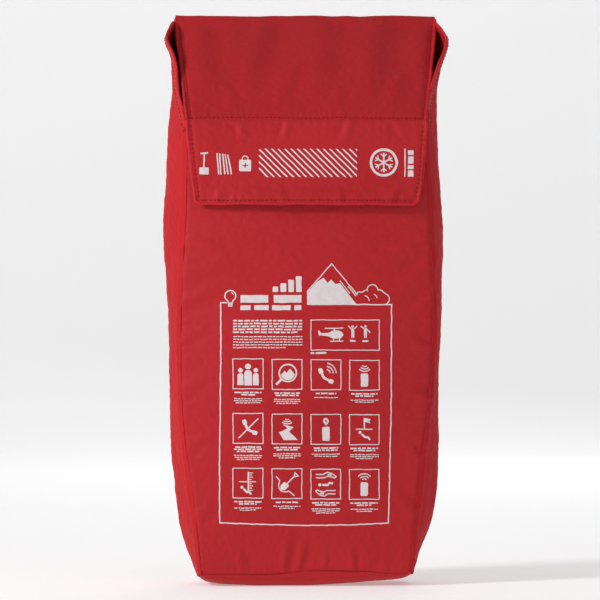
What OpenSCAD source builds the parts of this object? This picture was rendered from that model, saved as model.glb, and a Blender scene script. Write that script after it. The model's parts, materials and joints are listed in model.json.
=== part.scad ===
// Rescue tool pouch: a tall gusseted cloth pouch with a fold-over flap.
// Units are millimetres. +Z is up, the front faces -Y, and the origin is at the middle of
// the base, on the floor.

/* [Pouch] */
// Height of the top fold above the floor
pouch_h = 501; // [490:1:510]
// Height of the front panel's mouth edge
mouth_h = 400; // [394:1:401]
// Height of the side gussets where they meet the back panel
gusset_h = 487; // [482:1:489]
// Distance from the front seams to the back panel
seam_depth = 78; // [70:1:86]
// Widest distance between the two front seams
seam_w = 224; // [214:1:228]
// Width of the back panel at the top fold
back_w = 234; // [230:1:238]
// How far the front panel swells past its seams
crown_h = 14; // [8:1:16]
// How far each side gusset swells past its seams
puff_h = 14; // [8:1:15]

/* [Flap] */
// Height of the sewn line where the flap's band begins
stitch_h = 405; // [404:1:408]
// Height of the band's lower edge
band_h = 331; // [325:1:340]
// Width of the flap at the sewn line
flap_stitch_w = 215; // [206:1:220]
// Width of the flap at the band's lower edge
flap_low_w = 201; // [190:1:206]
// Radius of the rolled seam that the flap folds over
roll_r = 3; // [2.5:0.1:3.5]

/* [Cloth] */
// Thickness of the body cloth
cloth_t = 1.4; // [1:0.1:1.6]
// Thickness of the flap's outer cloth
flap_t = 1.2; // [1:0.1:1.4]
// Thickness of the flap's lining
lining_t = 1; // [0.8:0.1:1.2]
// Thickness of each half of the hook-and-loop closure
closure_t = 1.2; // [1:0.1:1.4]
// Thickness of the binding tape over cut edges
binding_t = 1; // [0.8:0.1:1.2]
// Width of the binding tape
binding_w = 10; // [8:0.5:12]
// Thickness of a printed film
print_t = 0.3; // [0.2:0.05:0.4]

/* [Sleeves] */
// Width of the sleeve for the folded probe
probe_w = 66; // [50:1:70]
// Width of the sleeve for the shovel shaft
shaft_w = 62; // [50:1:66]
// Depth of both sleeves
sleeve_d = 32; // [28:1:36]
// Height of both sleeves' upper edges
sleeve_h = 330; // [300:1:340]

/* [Hidden] */

// Clearance between neighbouring pieces
gap = 0.3;
// How far binding tape stands proud of the cloth that it is folded over
bind_proud = 0.4;
// How far a gusset's cloth and its seam tapes stop below the upper edge of its binding
gusset_drop = binding_w + 3 * gap;
tape_drop = binding_w + 2;
// Width of the tape inside each upright seam, and its distance from the gusset's edge
tape_w = 7;
tape_in = 1;
// Height of the base panel's turned-up rim
rim_h = 10;
// How far the base's flat floor stands in from the rim's upper edge
floor_in = 8;
// Distance from a fold line to the edge of the cloth beside it
fold_gap = 3.8;
// Distance from the fold line to the back panel's upper edge
back_gap = 5.8;
// Distance from the band's sewn line to the cloth on each side
stitch_gap = 1.5;
// Distance from the flap's edge to its hook panel
closure_margin = 8;
// Distance from the band's upper edge to its hook panel
hook_drop = 3;
// Distance from the front's binding to the loop panel
loop_drop = 4;
// Clearance on each side of a closure panel
closure_gap = 2.5 * gap;
// How far the band lies in front of the front seams, and the height over which it reaches that
band_rest = 3;
band_ease = 60;
// Height of the loop panel on the front
loop_h = 56;
// Radius of the piping along the flap's edges
piping_r = 1.5;
// Radius of the sleeves' rounded corners
sleeve_r = 8;
// Sides of the fine curves
$fn = 48;

red = [0.68, 0.15, 0.18];
dark_red = [0.45, 0.09, 0.11];
ink = [0.9, 0.86, 0.87];
hook_black = [0.15, 0.13, 0.14];
loop_grey = [0.2, 0.18, 0.19];

// Shares of the height, and there the shares of each full width or swell
front_profile = [[0, .826], [.05, .848], [.17, .9], [.266, .959], [.377, .994],
                 [.484, 1], [.645, .957], [.8, .964], [1, .97]];
back_profile = [[0, .784], [.09, .839], [.218, .915], [.4, .966], [.6, .983],
                [.825, .962], [.972, .99], [1, 1]];
puff_profile = [[0, 0], [.04, .33], [.091, .72], [.149, .89], [.218, .79], [.317, .57],
                [.437, .53], [.595, .8], [.694, .79], [.823, .52], [.9, .47], [.955, .86], [1, .7]];
crown_profile = [[0, .2], [.12, .6], [.3, .93], [.456, 1], [.655, .65], [.8, .25], [1, 0]];
// The gusset's mouth edge: shares of the depth, and there shares of the rise
mouth_profile = [[0, 0], [.1, .17], [.3, .52], [.5, .8], [.75, .96], [1, 1]];
// How square the front panel's swell is across its width
crown_power = 2.4;

// ---- Curves ----

// The span of a table of [place, value] points that holds x
function span_of(table, x, i = 0) =
    i >= len(table) - 2 || x < table[i + 1][0] ? i : span_of(table, x, i + 1);

// The slope of the smooth curve at one of the table's points
function slope_at(table, i) =
    i == 0 || i == len(table) - 1 ? 0
    : (table[i + 1][1] - table[i - 1][1]) / (table[i + 1][0] - table[i - 1][0]);

// The smooth curve through the table's points
function curve(table, x) =
    let (i = span_of(table, x), a = table[i], b = table[i + 1], w = b[0] - a[0],
         t = min(1, max(0, (x - a[0]) / w)), s = 1 - t)
    a[1] * (1 + 2 * t) * s * s + b[1] * (3 - 2 * t) * t * t
    + w * t * s * (slope_at(table, i) * s - slope_at(table, i + 1) * t);

function mix(a, b, t) = a + (b - a) * t;
function ease(t) = let (c = min(1, max(0, t))) c * c * (3 - 2 * c);

// ---- The pouch's shape ----

back_y = (seam_depth + crown_h) / 2;
seam_y = back_y - seam_depth;
hinge_y = back_y - roll_r;
hinge_z = pouch_h - roll_r;

function front_half(z) = seam_w / 2 * curve(front_profile, z / pouch_h);
function back_half(z) = back_w / 2 * curve(back_profile, z / pouch_h);
function puff(z) = puff_h * curve(puff_profile, z / pouch_h);
function crown(z) = crown_h * curve(crown_profile, z / pouch_h);

// The front panel's outer face
function front_y(x, z) =
    seam_y - crown(z) * (1 - pow(min(1, abs(x) / front_half(z)), crown_power));

// A gusset's outer face, with u from the front seam (0) to the back seam (1)
function gusset_x(u, z) =
    mix(front_half(z), back_half(z), u) + puff(z) * sin(180 * pow(max(0, u), 1.2));

// A gusset's mouth edge rises from the front panel to the back panel
function gusset_mouth(u) = mouth_h + (gusset_h - mouth_h) * curve(mouth_profile, u);

// ---- Sheets of cloth ----

function unit(v) = v / norm(v);
step = 0.002;
// The outward normal of skin(u, v), from points close by; side is 1 or -1
function normal_of(skin, u, v, side) =
    let (a = skin(max(0, u - step), v), b = skin(min(1, u + step), v),
         c = skin(u, max(0, v - step)), d = skin(u, min(1, v + step)))
    side * unit(cross(b - a, d - c));

// The skin moved out along its normal
function moved(skin, side, d) =
    function(u, v) skin(u, v) + d * normal_of(skin, u, v, side);

// A closed sheet: skin(u, v) is its outer face, t its thickness, side its outward sense
module sheet(skin, nu, nv, t, side) {
    row = nv + 1;
    n = (nu + 1) * row;
    outer = [for (i = [0:nu], j = [0:nv]) skin(i / nu, j / nv)];
    inner = [for (i = [0:nu], j = [0:nv])
        skin(i / nu, j / nv) - t * normal_of(skin, i / nu, j / nv, side)];
    // Two triangles for the quad a, b, c, d, turned to face outwards
    function quad(a, b, c, d) = side > 0 ? [[a, c, b], [a, d, c]] : [[a, b, c], [a, c, d]];
    faces = [
        for (i = [0:nu - 1], j = [0:nv - 1]) let (a = i * row + j)
            each quad(a, a + row, a + row + 1, a + 1),
        for (i = [0:nu - 1], j = [0:nv - 1]) let (a = n + i * row + j)
            each quad(a, a + 1, a + row + 1, a + row),
        for (i = [0:nu - 1]) let (a = i * row) each quad(a, a + n, a + row + n, a + row),
        for (i = [0:nu - 1]) let (a = i * row + nv)
            each quad(a, a + row, a + row + n, a + n),
        for (j = [0:nv - 1]) each quad(j, j + 1, j + 1 + n, j + n),
        for (j = [0:nv - 1]) let (a = nu * row + j) each quad(a, a + n, a + 1 + n, a + 1)
    ];
    polyhedron(concat(outer, inner), faces, convexity = 6);
}

// ---- Body panels ----

// The front's outer face from height z0 to z1, u across from left to right
function front_face(z0, z1) = function(u, v)
    let (z = mix(z0, z1, v), x = mix(-1, 1, u) * front_half(z)) [x, front_y(x, z), z];

// A patch of the front between two x and two z
function front_patch(x0, x1, z0, z1) = function(u, v)
    let (z = mix(z0, z1, v), x = mix(x0, x1, u)) [x, front_y(x, z), z];

// A gusset's outer face on side s, between the distances y0 and y1 from the front seam,
// from height z0 up to drop below the mouth edge
function gusset_face(s, y0, y1, z0, drop) = function(u, v)
    let (depth = mix(y0, y1, u), w = depth / seam_depth, z = mix(z0, gusset_mouth(w) - drop, v))
    [s * gusset_x(w, z), seam_y + depth, z];

gusset_front = cloth_t + gap;
gusset_back = seam_depth - cloth_t - gap;
tape_front = gusset_front + tape_in;
tape_back = gusset_back - tape_w - tape_in;
panel_foot = rim_h + gap;

module back_panel() {
    top = hinge_z - back_gap;
    rows = 24;
    edge = [for (i = [0:rows]) let (z = mix(panel_foot, top, i / rows)) [back_half(z), z]];
    color(red) translate([0, back_y, 0]) rotate([90, 0, 0]) linear_extrude(cloth_t)
        polygon(concat(edge, [for (i = [rows:-1:0]) [-edge[i][0], edge[i][1]]]));
}

module front_panel() {
    color(red) sheet(front_face(panel_foot, mouth_h - binding_w - gap), 20, 30, cloth_t, 1);
}

module gusset(s) {
    face = gusset_face(s, gusset_front, gusset_back, panel_foot, gusset_drop);
    color(red) sheet(face, 10, 40, cloth_t, s);
}

// The base's outline, moved in by d
function base_outline(d) =
    let (n = 12, w = front_half(rim_h) - d,
         side = [for (i = [0:n]) let (u = i / n)
             [gusset_x(u, rim_h) - d, mix(seam_y + d, back_y - d, u)]])
    concat([for (i = [0:n]) let (x = mix(-w, w, i / n)) [x, front_y(x, rim_h) + d]],
           [for (i = [1:n]) side[i]], [for (i = [n:-1:1]) [-side[i][0], side[i][1]]]);

// A closed ring of cloth through loops of points, each loop joined to the next and the last
// to the first
module ring(loops) {
    n = len(loops[0]);
    m = len(loops);
    faces = [for (i = [0:m - 1], k = [0:n - 1])
        let (p = i * n + k, q = i * n + (k + 1) % n, r = ((i + 1) % m) * n)
        each [[p, r + k, q], [q, r + k, r + (k + 1) % n]]];
    polyhedron([for (loop = loops) each loop], faces, convexity = 6);
}

function at_height(outline, z) = [for (p = outline) [p[0], p[1], z]];

module base_panel() {
    color(red) {
        linear_extrude(cloth_t) polygon(base_outline(floor_in));
        ring([
            at_height(base_outline(floor_in), 0),
            at_height(base_outline(0), rim_h),
            at_height(base_outline(cloth_t), rim_h),
            at_height(base_outline(floor_in + cloth_t), cloth_t / 2)
        ]);
    }
}

// ---- Binding tape ----

inner_step = cloth_t + 2 * gap;

module base_binding() {
    color(dark_red) translate([0, 0, rim_h + gap]) linear_extrude(tape_w) difference() {
        polygon(base_outline(inner_step + gap));
        polygon(base_outline(inner_step + gap + binding_t));
    }
}

binding_foot = rim_h + binding_w + 1;

// Tape over the seam inside a gusset, from depth y0
module seam_binding(s, y0) {
    face = gusset_face(s, y0, y0 + tape_w, binding_foot, tape_drop);
    color(dark_red) sheet(moved(face, s, -inner_step), 2, 36, binding_t, s);
}

module front_mouth_binding() {
    face = front_face(mouth_h - binding_w, mouth_h);
    color(red) sheet(moved(face, 1, bind_proud), 20, 2, cloth_t + bind_proud, 1);
}

// Tape folded over a gusset's mouth edge
module mouth_binding(s) {
    face = function(u, v)
        let (depth = mix(gusset_front + gap, gusset_back - gap, u), w = depth / seam_depth,
             z = gusset_mouth(w) - binding_w * (1 - v))
        [s * gusset_x(w, z), seam_y + depth, z];
    color(red) sheet(moved(face, s, bind_proud), 14, 2, cloth_t + 2 * bind_proud, s);
}

// ---- Sleeves on the back panel's inner face ----

sleeve_back = back_y - cloth_t - gap;
sleeve_foot = 30;
shaft_x = 12;
probe_x = -shaft_x - probe_w;

// An upright channel, open at the back, with its front corners rounded
module channel(x, w, d, t) {
    r = sleeve_r;
    translate([x, sleeve_back - d]) difference() {
        union() {
            translate([0, r]) square([w, d - r]);
            translate([r, 0]) square([w - 2 * r, d]);
            for (cx = [r, w - r]) translate([cx, r]) circle(r);
        }
        translate([t, t + r]) square([w - 2 * t, d]);
        translate([r, t]) square([w - 2 * r, d]);
        for (cx = [r, w - r]) translate([cx, r]) circle(r - t);
    }
}

module sleeve(x, w) {
    color(dark_red) {
        translate([0, 0, sleeve_foot]) linear_extrude(sleeve_h - sleeve_foot - binding_w)
            channel(x, w, sleeve_d, cloth_t);
        translate([x + cloth_t, sleeve_back - sleeve_d + cloth_t, sleeve_foot])
            cube([w - 2 * cloth_t, sleeve_d - cloth_t, cloth_t]);
    }
}

module sleeve_binding(x, w) {
    color(red) translate([0, 0, sleeve_h - binding_w + gap]) linear_extrude(binding_w - gap)
        channel(x - bind_proud, w + 2 * bind_proud, sleeve_d + bind_proud, cloth_t + 2 * bind_proud);
}

// ---- Flap ----

stack_t = flap_t + gap + lining_t;
stack_half = stack_t / 2;
closure_stack = 2 * (closure_t + closure_gap) + stack_half;
loop_top = mouth_h - binding_w - loop_drop;
stitch_y = front_y(0, loop_top) - closure_stack;
flap_angle = atan2(hinge_y - stitch_y, hinge_z - stitch_h);
flap_len = norm([hinge_y - stitch_y, hinge_z - stitch_h]);

// Draws in the flap's own plane: x across, y from the top fold down the flap, z inwards
module on_flap() {
    translate([0, hinge_y, hinge_z]) rotate([270 - flap_angle, 0, 0]) children();
}

function flap_half(d) = mix(back_w, flap_stitch_w, d / flap_len) / 2;

module flap_plate(z, t, inset) {
    a = fold_gap;
    b = flap_len - stitch_gap;
    on_flap() translate([0, 0, z]) linear_extrude(t) polygon([
        [-flap_half(a) + inset, a], [flap_half(a) - inset, a],
        [flap_half(b) - inset, b], [-flap_half(b) + inset, b]
    ]);
}

module flap_panel() {
    color(red) flap_plate(-stack_half, flap_t, 2 * piping_r + gap);
}

module flap_lining() {
    color(dark_red) flap_plate(stack_half - lining_t, lining_t, 2 * piping_r + gap);
}

// The round edge along one side of the flap
module flap_piping(s) {
    a = fold_gap;
    b = flap_len - stitch_gap;
    slant = atan2(flap_half(a) - flap_half(b), b - a);
    color(red) on_flap() translate([s * (flap_half(a) - piping_r), a, 0]) rotate([-90, 0, s * slant])
        cylinder(r = piping_r, h = (b - a) / cos(slant));
}

module top_seam_roll() {
    color(red) translate([-back_w / 2, hinge_y, hinge_z]) rotate([0, 90, 0])
        cylinder(r = roll_r, h = back_w);
}

// ---- Band: the flap's lower part, below the sewn line ----

band_top = stitch_h - stitch_gap;

function band_half(z) = mix(flap_low_w, flap_stitch_w, (z - band_h) / (stitch_h - band_h)) / 2;

// The middle of the band's cloth: straight at the sewn line, lying on the front lower down
function band_y(x, z) =
    let (y = min(front_y(x, z), seam_y - band_rest) - closure_stack)
    min(y, mix(stitch_y, y, ease((stitch_h - z) / band_ease)));

function band_face(inset, z0, z1) = function(u, v)
    let (z = mix(z0, z1, v), x = mix(-1, 1, u) * (band_half(z) - inset)) [x, band_y(x, z), z];

function band_patch(x0, x1, z0, z1) = function(u, v)
    let (z = mix(z0, z1, v), x = mix(x0, x1, u)) [x, band_y(x, z), z];

edge_in = 2 * piping_r + gap;
band_low = band_h + edge_in;
band_cloth = band_face(edge_in, band_low, band_top);

module band_panel() {
    color(red) sheet(moved(band_cloth, 1, stack_half), 16, 8, flap_t, 1);
}

module band_lining() {
    color(dark_red) sheet(moved(band_cloth, 1, lining_t - stack_half), 16, 8, lining_t, 1);
}

module hook_panel() {
    face = band_face(closure_margin, band_h + closure_margin, band_top - hook_drop);
    color(hook_black) sheet(moved(face, 1, gap - stack_half - closure_gap), 16, 8, closure_t, 1);
}

module loop_panel() {
    half = flap_low_w / 2 - closure_margin;
    face = front_patch(-half, half, loop_top - loop_h, loop_top);
    color(loop_grey) sheet(moved(face, 1, closure_t + closure_gap - gap), 16, 6, closure_t, 1);
}

// The round edge down one side of the band, along its foot and up the other side
module band_piping() {
    n_side = 6;
    n_low = 14;
    x_of = function(z) band_half(z) - piping_r;
    low = band_h + piping_r;
    left = [for (i = [0:n_side - 1]) let (z = mix(band_top, low, i / n_side)) [-x_of(z), z]];
    foot = [for (i = [0:n_low]) [mix(-1, 1, i / n_low) * x_of(low), low]];
    path = [for (p = concat(left, foot, [for (i = [n_side - 1:-1:0]) [-left[i][0], left[i][1]]]))
        [p[0], band_y(p[0], p[1]), p[1]]];
    color(red) tube(path, piping_r, 8);
}

// A round tube along a path, closed at both ends
module tube(path, r, sides) {
    n = len(path);
    out = [0, -1, 0];
    rings = [for (i = [0:n - 1])
        let (d = unit(path[min(n - 1, i + 1)] - path[max(0, i - 1)]),
             a = unit(cross(out, d)), b = cross(d, a))
        for (k = [0:sides - 1]) path[i] + r * (cos(360 * k / sides) * a + sin(360 * k / sides) * b)];
    walls = [for (i = [0:n - 2], k = [0:sides - 1])
        let (p = i * sides + k, q = i * sides + (k + 1) % sides)
        each [[p, p + sides, q + sides], [p, q + sides, q]]];
    ends = concat([[for (k = [0:sides - 1]) k]], [[for (k = [sides - 1:-1:0]) (n - 1) * sides + k]]);
    polyhedron(rings, concat(walls, ends), convexity = 6);
}

// ---- Prints: thin films on the cloth ----

print_lift = 0.3;

// A film over the rectangle r on the front: its left, right, lower and upper edges
module front_print(r, nu = 2, nv = 2) {
    face = front_patch(r[0], r[1], r[2], r[3]);
    color(ink) sheet(moved(face, 1, print_lift + print_t), nu, nv, print_t, 1);
}

// The same on the band
module band_print(r, nu = 2, nv = 2) {
    face = band_patch(r[0], r[1], r[2], r[3]);
    color(ink) sheet(moved(face, 1, stack_half + print_lift + print_t), nu, nv, print_t, 1);
}

// The reminder's frame and its grid of picture tiles
frame_half = 74;
frame_low = 54;
frame_high = 246;
frame_gap_x = 3;
line_w = 1.2;
line_gap = 0.1;
tile = 26.6;
tile_xs = [-64.6, -31, 2.7, 36.3];
tile_zs = [171.6, 124.6, 77];
// Rectangles that hold the other pictures
signal_box = [tile_xs[2], tile_xs[3] + tile, 205.5, 232];
heading_blocks = [[-30, -4.5, 255.5, 270], [-58, -5, 240, 253], [-72, -61.5, 248, 258],
                  [-64.6, -4.4, 207, 232]];
mountain_blocks = [[0, 42, 247, 281], [43, 71, 247, 263]];
tool_blocks = [[-94, -85, 357, 377], [-78, -65, 357, 377], [-59, -48.5, 360, 374]];
hatch_block = [-42, 43, 355, 380];
emblem_blocks = [[51, 82, 356, 380], [85, 93.5, 356, 380]];

module print_frame() {
    inner = frame_half - line_w;
    side = inner - line_gap;
    front_print([-frame_half, -inner, frame_low, frame_high], 1, 16);
    front_print([inner, frame_half, frame_low, frame_high], 1, 16);
    front_print([-side, side, frame_low, frame_low + line_w], 16, 1);
    front_print([frame_gap_x, side, frame_high - line_w, frame_high], 8, 1);
}

module print_tiles() {
    for (x = tile_xs, z = tile_zs) front_print([x, x + tile, z, z + tile]);
    front_print(signal_box, 4);
}

module print_heading() {
    for (block = heading_blocks) front_print(block, 4);
}

module print_mountain() {
    for (block = mountain_blocks) front_print(block, 4);
}

module print_tools() {
    for (block = tool_blocks) band_print(block, 1, 1);
}

module print_hatch() {
    band_print(hatch_block, 8);
}

module print_emblem() {
    for (block = emblem_blocks) band_print(block, 4);
}

back_panel();
front_panel();
gusset(-1);  // left_gusset
gusset(1);  // right_gusset
base_panel();
base_binding();
seam_binding(-1, tape_front);  // left_front_binding
seam_binding(1, tape_front);  // right_front_binding
seam_binding(-1, tape_back);  // left_back_binding
seam_binding(1, tape_back);  // right_back_binding
front_mouth_binding();
mouth_binding(-1);  // left_mouth_binding
mouth_binding(1);  // right_mouth_binding
top_seam_roll();
sleeve(probe_x, probe_w);  // probe_sleeve
sleeve(shaft_x, shaft_w);  // shaft_sleeve
sleeve_binding(probe_x, probe_w);  // probe_sleeve_binding
sleeve_binding(shaft_x, shaft_w);  // shaft_sleeve_binding
loop_panel();
print_frame();
print_tiles();
print_heading();
print_mountain();
flap_panel();
flap_lining();
flap_piping(-1);  // left_flap_piping
flap_piping(1);  // right_flap_piping
band_panel();
band_lining();
band_piping();
hook_panel();
print_tools();
print_hatch();
print_emblem();
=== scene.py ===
"""A tall red cloth pouch for snow rescue tools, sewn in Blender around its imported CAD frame.

Lengths are in millimetres in the frame's own axes until a mesh is made, which is in metres.
A sheet of cloth is a grid of points P[i, j]: i runs along u, j along v, and u cross v points outwards.
"""

import json
import math

import bmesh
import bpy
import numpy as np
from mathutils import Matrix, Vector
from mathutils.geometry import tessellate_polygon
from mathutils.kdtree import KDTree


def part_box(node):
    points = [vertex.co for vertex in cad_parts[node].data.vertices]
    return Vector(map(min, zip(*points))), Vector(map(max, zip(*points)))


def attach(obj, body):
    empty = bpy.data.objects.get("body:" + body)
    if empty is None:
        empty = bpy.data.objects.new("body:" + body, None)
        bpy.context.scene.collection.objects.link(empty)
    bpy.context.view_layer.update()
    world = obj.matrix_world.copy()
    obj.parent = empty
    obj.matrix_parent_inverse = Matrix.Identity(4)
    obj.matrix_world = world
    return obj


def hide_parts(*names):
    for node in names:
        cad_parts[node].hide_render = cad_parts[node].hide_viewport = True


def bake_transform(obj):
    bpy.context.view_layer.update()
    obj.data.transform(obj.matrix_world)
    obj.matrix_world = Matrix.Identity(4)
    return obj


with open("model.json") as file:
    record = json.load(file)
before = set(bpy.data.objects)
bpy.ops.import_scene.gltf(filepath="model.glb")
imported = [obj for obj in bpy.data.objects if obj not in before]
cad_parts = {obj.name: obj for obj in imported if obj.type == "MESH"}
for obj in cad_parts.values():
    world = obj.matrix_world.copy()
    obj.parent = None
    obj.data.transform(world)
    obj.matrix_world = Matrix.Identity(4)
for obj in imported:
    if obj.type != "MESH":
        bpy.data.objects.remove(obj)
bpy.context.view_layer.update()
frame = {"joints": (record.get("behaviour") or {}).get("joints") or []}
MM = 0.001


# ---------------------------------------------------------------- sizes from the frame

joints = {j["name"]: j for j in frame["joints"]}
_, HINGE_Y, HINGE_Z = (c / MM for c in joints["flap_hinge"]["pos_m"])
_, STITCH_Y, STITCH_Z = (c / MM for c in joints["band_fold"]["pos_m"])


def node_box(name):
    """A CAD node's lowest and highest corners, in millimetres."""
    low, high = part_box(name)
    return [c / MM for c in low], [c / MM for c in high]


BACK_Y = node_box("back_panel")[1][1]
BACK_TOP = node_box("back_panel")[1][2]
SEAM_Y = node_box("left_mouth_binding")[0][1] - 2
MOUTH_Z = node_box("front_mouth_binding")[1][2]
GUSSET_Z = node_box("left_mouth_binding")[1][2]
TOP_Z = node_box("top_seam_roll")[1][2]
BAND_LOW = node_box("band_piping")[0][2]
SLEEVE_TOP = node_box("probe_sleeve_binding")[1][2]
SLOPE = math.atan2(HINGE_Y - STITCH_Y, HINGE_Z - STITCH_Z)
FLAP_LENGTH = math.hypot(HINGE_Y - STITCH_Y, HINGE_Z - STITCH_Z)
ROLL_R = TOP_Z - HINGE_Z


# ---------------------------------------------------------------- camera, light and floor

VIEW_AZIMUTH = math.radians(-2.5)
VIEW_DISTANCE = 3.5
VIEW_HEIGHT = 0.249
# What the picture's width covers at the pouch's middle, and how far left of it the camera aims
VIEW_WIDTH = 0.5262
AIM_LEFT = 0.0044


def turned(azimuth, right, back, up):
    """A point given to the right of, behind and above the origin, as seen from an azimuth."""
    c, s = math.cos(azimuth), math.sin(azimuth)
    return (right * c - back * s, right * s + back * c, up)


def add_camera():
    data = bpy.data.cameras.new("camera")
    data.sensor_width = 36
    data.lens = data.sensor_width * VIEW_DISTANCE / VIEW_WIDTH
    data.clip_end = 50
    camera = bpy.data.objects.new("camera", data)
    bpy.context.scene.collection.objects.link(camera)
    camera.location = turned(VIEW_AZIMUTH, -AIM_LEFT, -VIEW_DISTANCE, VIEW_HEIGHT)
    camera.rotation_euler = (math.pi / 2, 0, VIEW_AZIMUTH)
    bpy.context.scene.camera = camera


def add_area_light(name, place, target, size, power):
    data = bpy.data.lights.new(name, "AREA")
    data.shape = "DISK"
    data.size = size
    data.energy = power
    light = bpy.data.objects.new(name, data)
    bpy.context.scene.collection.objects.link(light)
    light.location = place
    light.rotation_euler = (Vector(target) - Vector(place)).to_track_quat("-Z", "Y").to_euler()


def add_studio():
    world = bpy.data.worlds.new("studio")
    bpy.context.scene.world = world
    world.use_nodes = True
    tree = world.node_tree
    background = tree.nodes["Background"]
    background.inputs["Color"].default_value = (1, 1, 1, 1)
    # The backdrop is white, and dimmer as a light than as a backdrop
    path = tree.nodes.new("ShaderNodeLightPath")
    level = tree.nodes.new("ShaderNodeMapRange")
    level.inputs["To Min"].default_value = 0.34
    tree.links.new(path.outputs["Is Camera Ray"], level.inputs["Value"])
    tree.links.new(level.outputs["Result"], background.inputs["Strength"])
    middle = (0, 0, 0.28)
    add_area_light("key", (-3.1, -1.9, 1.85), middle, 0.8, 93)
    add_area_light("fill", (1.6, -2.8, 1.0), middle, 1.8, 6.5)
    add_area_light("back_light", (0.6, 2.6, 1.5), middle, 1.6, 11)
    bpy.context.scene.view_settings.view_transform = "Standard"


def add_floor():
    """A pale floor that sweeps up behind the pouch into a backdrop."""
    reach, rise, bend = 4.0, 3.0, 1.2
    steps = 12
    line = [(-reach, 0.0), (reach - bend, 0.0)]
    for k in range(1, steps + 1):
        a = math.pi / 2 * k / steps
        line.append((reach - bend + bend * math.sin(a), bend - bend * math.cos(a)))
    line.append((reach, rise))
    mesh = bpy.data.meshes.new("floor")
    points = [(x, y, z) for y, z in line for x in (-reach, reach)]
    faces = [(2 * k, 2 * k + 1, 2 * k + 3, 2 * k + 2) for k in range(len(line) - 1)]
    mesh.from_pydata(points, [], faces)
    mesh.polygons.foreach_set("use_smooth", [True] * len(faces))
    floor = bpy.data.objects.new("floor", mesh)
    bpy.context.scene.collection.objects.link(floor)
    material = bpy.data.materials.new("pale_floor")
    material.use_nodes = True
    shader = material.node_tree.nodes["Principled BSDF"]
    shader.inputs["Base Color"].default_value = (0.88, 0.88, 0.88, 1)
    shader.inputs["Roughness"].default_value = 0.9
    shader.inputs["Emission Color"].default_value = (1, 1, 1, 1)
    shader.inputs["Emission Strength"].default_value = 0.3
    mesh.materials.append(material)


# ---------------------------------------------------------------- materials

# A wave texture repeats every WAVE_SPAN over its scale
WAVE_SPAN = math.pi / 10


class Nodes:
    """A short way to add shader nodes to one material."""

    def __init__(self, name):
        self.material = bpy.data.materials.new(name)
        self.material.use_nodes = True
        self.tree = self.material.node_tree
        self.shader = self.tree.nodes["Principled BSDF"]

    def add(self, kind, inputs=None, **settings):
        node = self.tree.nodes.new("ShaderNode" + kind)
        for key, value in settings.items():
            setattr(node, key, value)
        for key, value in (inputs or {}).items():
            self.put(node.inputs[key], value)
        return node

    def put(self, socket, value):
        if isinstance(value, bpy.types.NodeSocket):
            self.tree.links.new(value, socket)
        else:
            socket.default_value = value

    def surface(self, inputs):
        """Sets or links the surface shader's own inputs."""
        for key, value in inputs.items():
            self.put(self.shader.inputs[key], value)

    def bump(self, height, strength, distance):
        inputs = {"Height": height, "Strength": strength, "Distance": distance}
        self.surface({"Normal": self.add("Bump", inputs).outputs["Normal"]})

    def math(self, operation, a, b):
        node = self.add("Math", {0: a, 1: b}, operation=operation)
        return node.outputs[0]

    def mix(self, factor, a, b):
        node = self.add("Mix", data_type="RGBA")
        self.put(node.inputs["Factor"], factor)
        self.put(node.inputs["A"], a)
        self.put(node.inputs["B"], b)
        return node.outputs["Result"]

    def noise(self, place, scale, detail=3.0, roughness=0.55):
        inputs = {"Vector": place, "Scale": scale, "Detail": detail, "Roughness": roughness}
        return self.add("TexNoise", inputs).outputs["Fac"]

    def span(self, value, low, high, to_low=0.0, to_high=1.0):
        inputs = {0: value, 1: low, 2: high, 3: to_low, 4: to_high}
        return self.add("MapRange", inputs).outputs[0]


def rgba(colour, gain=1.0):
    return (*[min(1.0, c * gain) for c in colour], 1.0)


def cloth_material(name, colour, weave=0.55, weave_bump=0.05, crease_bump=0.12, sheen=0.06,
                   roughness=0.5, specular=0.2, variation=0.1):
    """Woven cloth: threads along all three axes, soft creases, and colour that drifts a little."""
    n = Nodes(name)
    place = n.add("TexCoord").outputs["Object"]
    scale = WAVE_SPAN / (weave * MM)
    threads = None
    for axis in "XYZ":
        inputs = {"Vector": place, "Scale": scale, "Distortion": 0.6, "Detail": 1.0}
        wave = n.add("TexWave", inputs, bands_direction=axis).outputs["Fac"]
        threads = wave if threads is None else n.math("ADD", threads, wave)
    weave_height = n.math("MULTIPLY", threads, weave_bump)
    creases = n.noise(place, 70, detail=4, roughness=0.5)
    crease_height = n.math("MULTIPLY", creases, crease_bump)
    slubs = n.noise(place, 1400, detail=1)
    slub_height = n.math("MULTIPLY", slubs, weave_bump)
    height = n.math("ADD", n.math("ADD", weave_height, crease_height), slub_height)
    n.bump(height, 0.5, 0.0012)
    drift = n.noise(place, 9, detail=3)
    grain = n.noise(place, 900, detail=2)
    blend = n.span(n.math("ADD", drift, n.math("MULTIPLY", grain, 0.35)), 0.35, 1.0)
    tone = n.mix(blend, rgba(colour, 1 - variation), rgba(colour, 1 + variation))
    rough = n.span(grain, 0.2, 0.8, roughness - 0.06, roughness + 0.06)
    n.surface({"Base Color": tone, "Roughness": rough, "Sheen Weight": sheen, "Sheen Roughness": 0.4,
               "Sheen Tint": (1, 0.5, 0.5, 1), "Specular IOR Level": specular})
    return n.material


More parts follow.
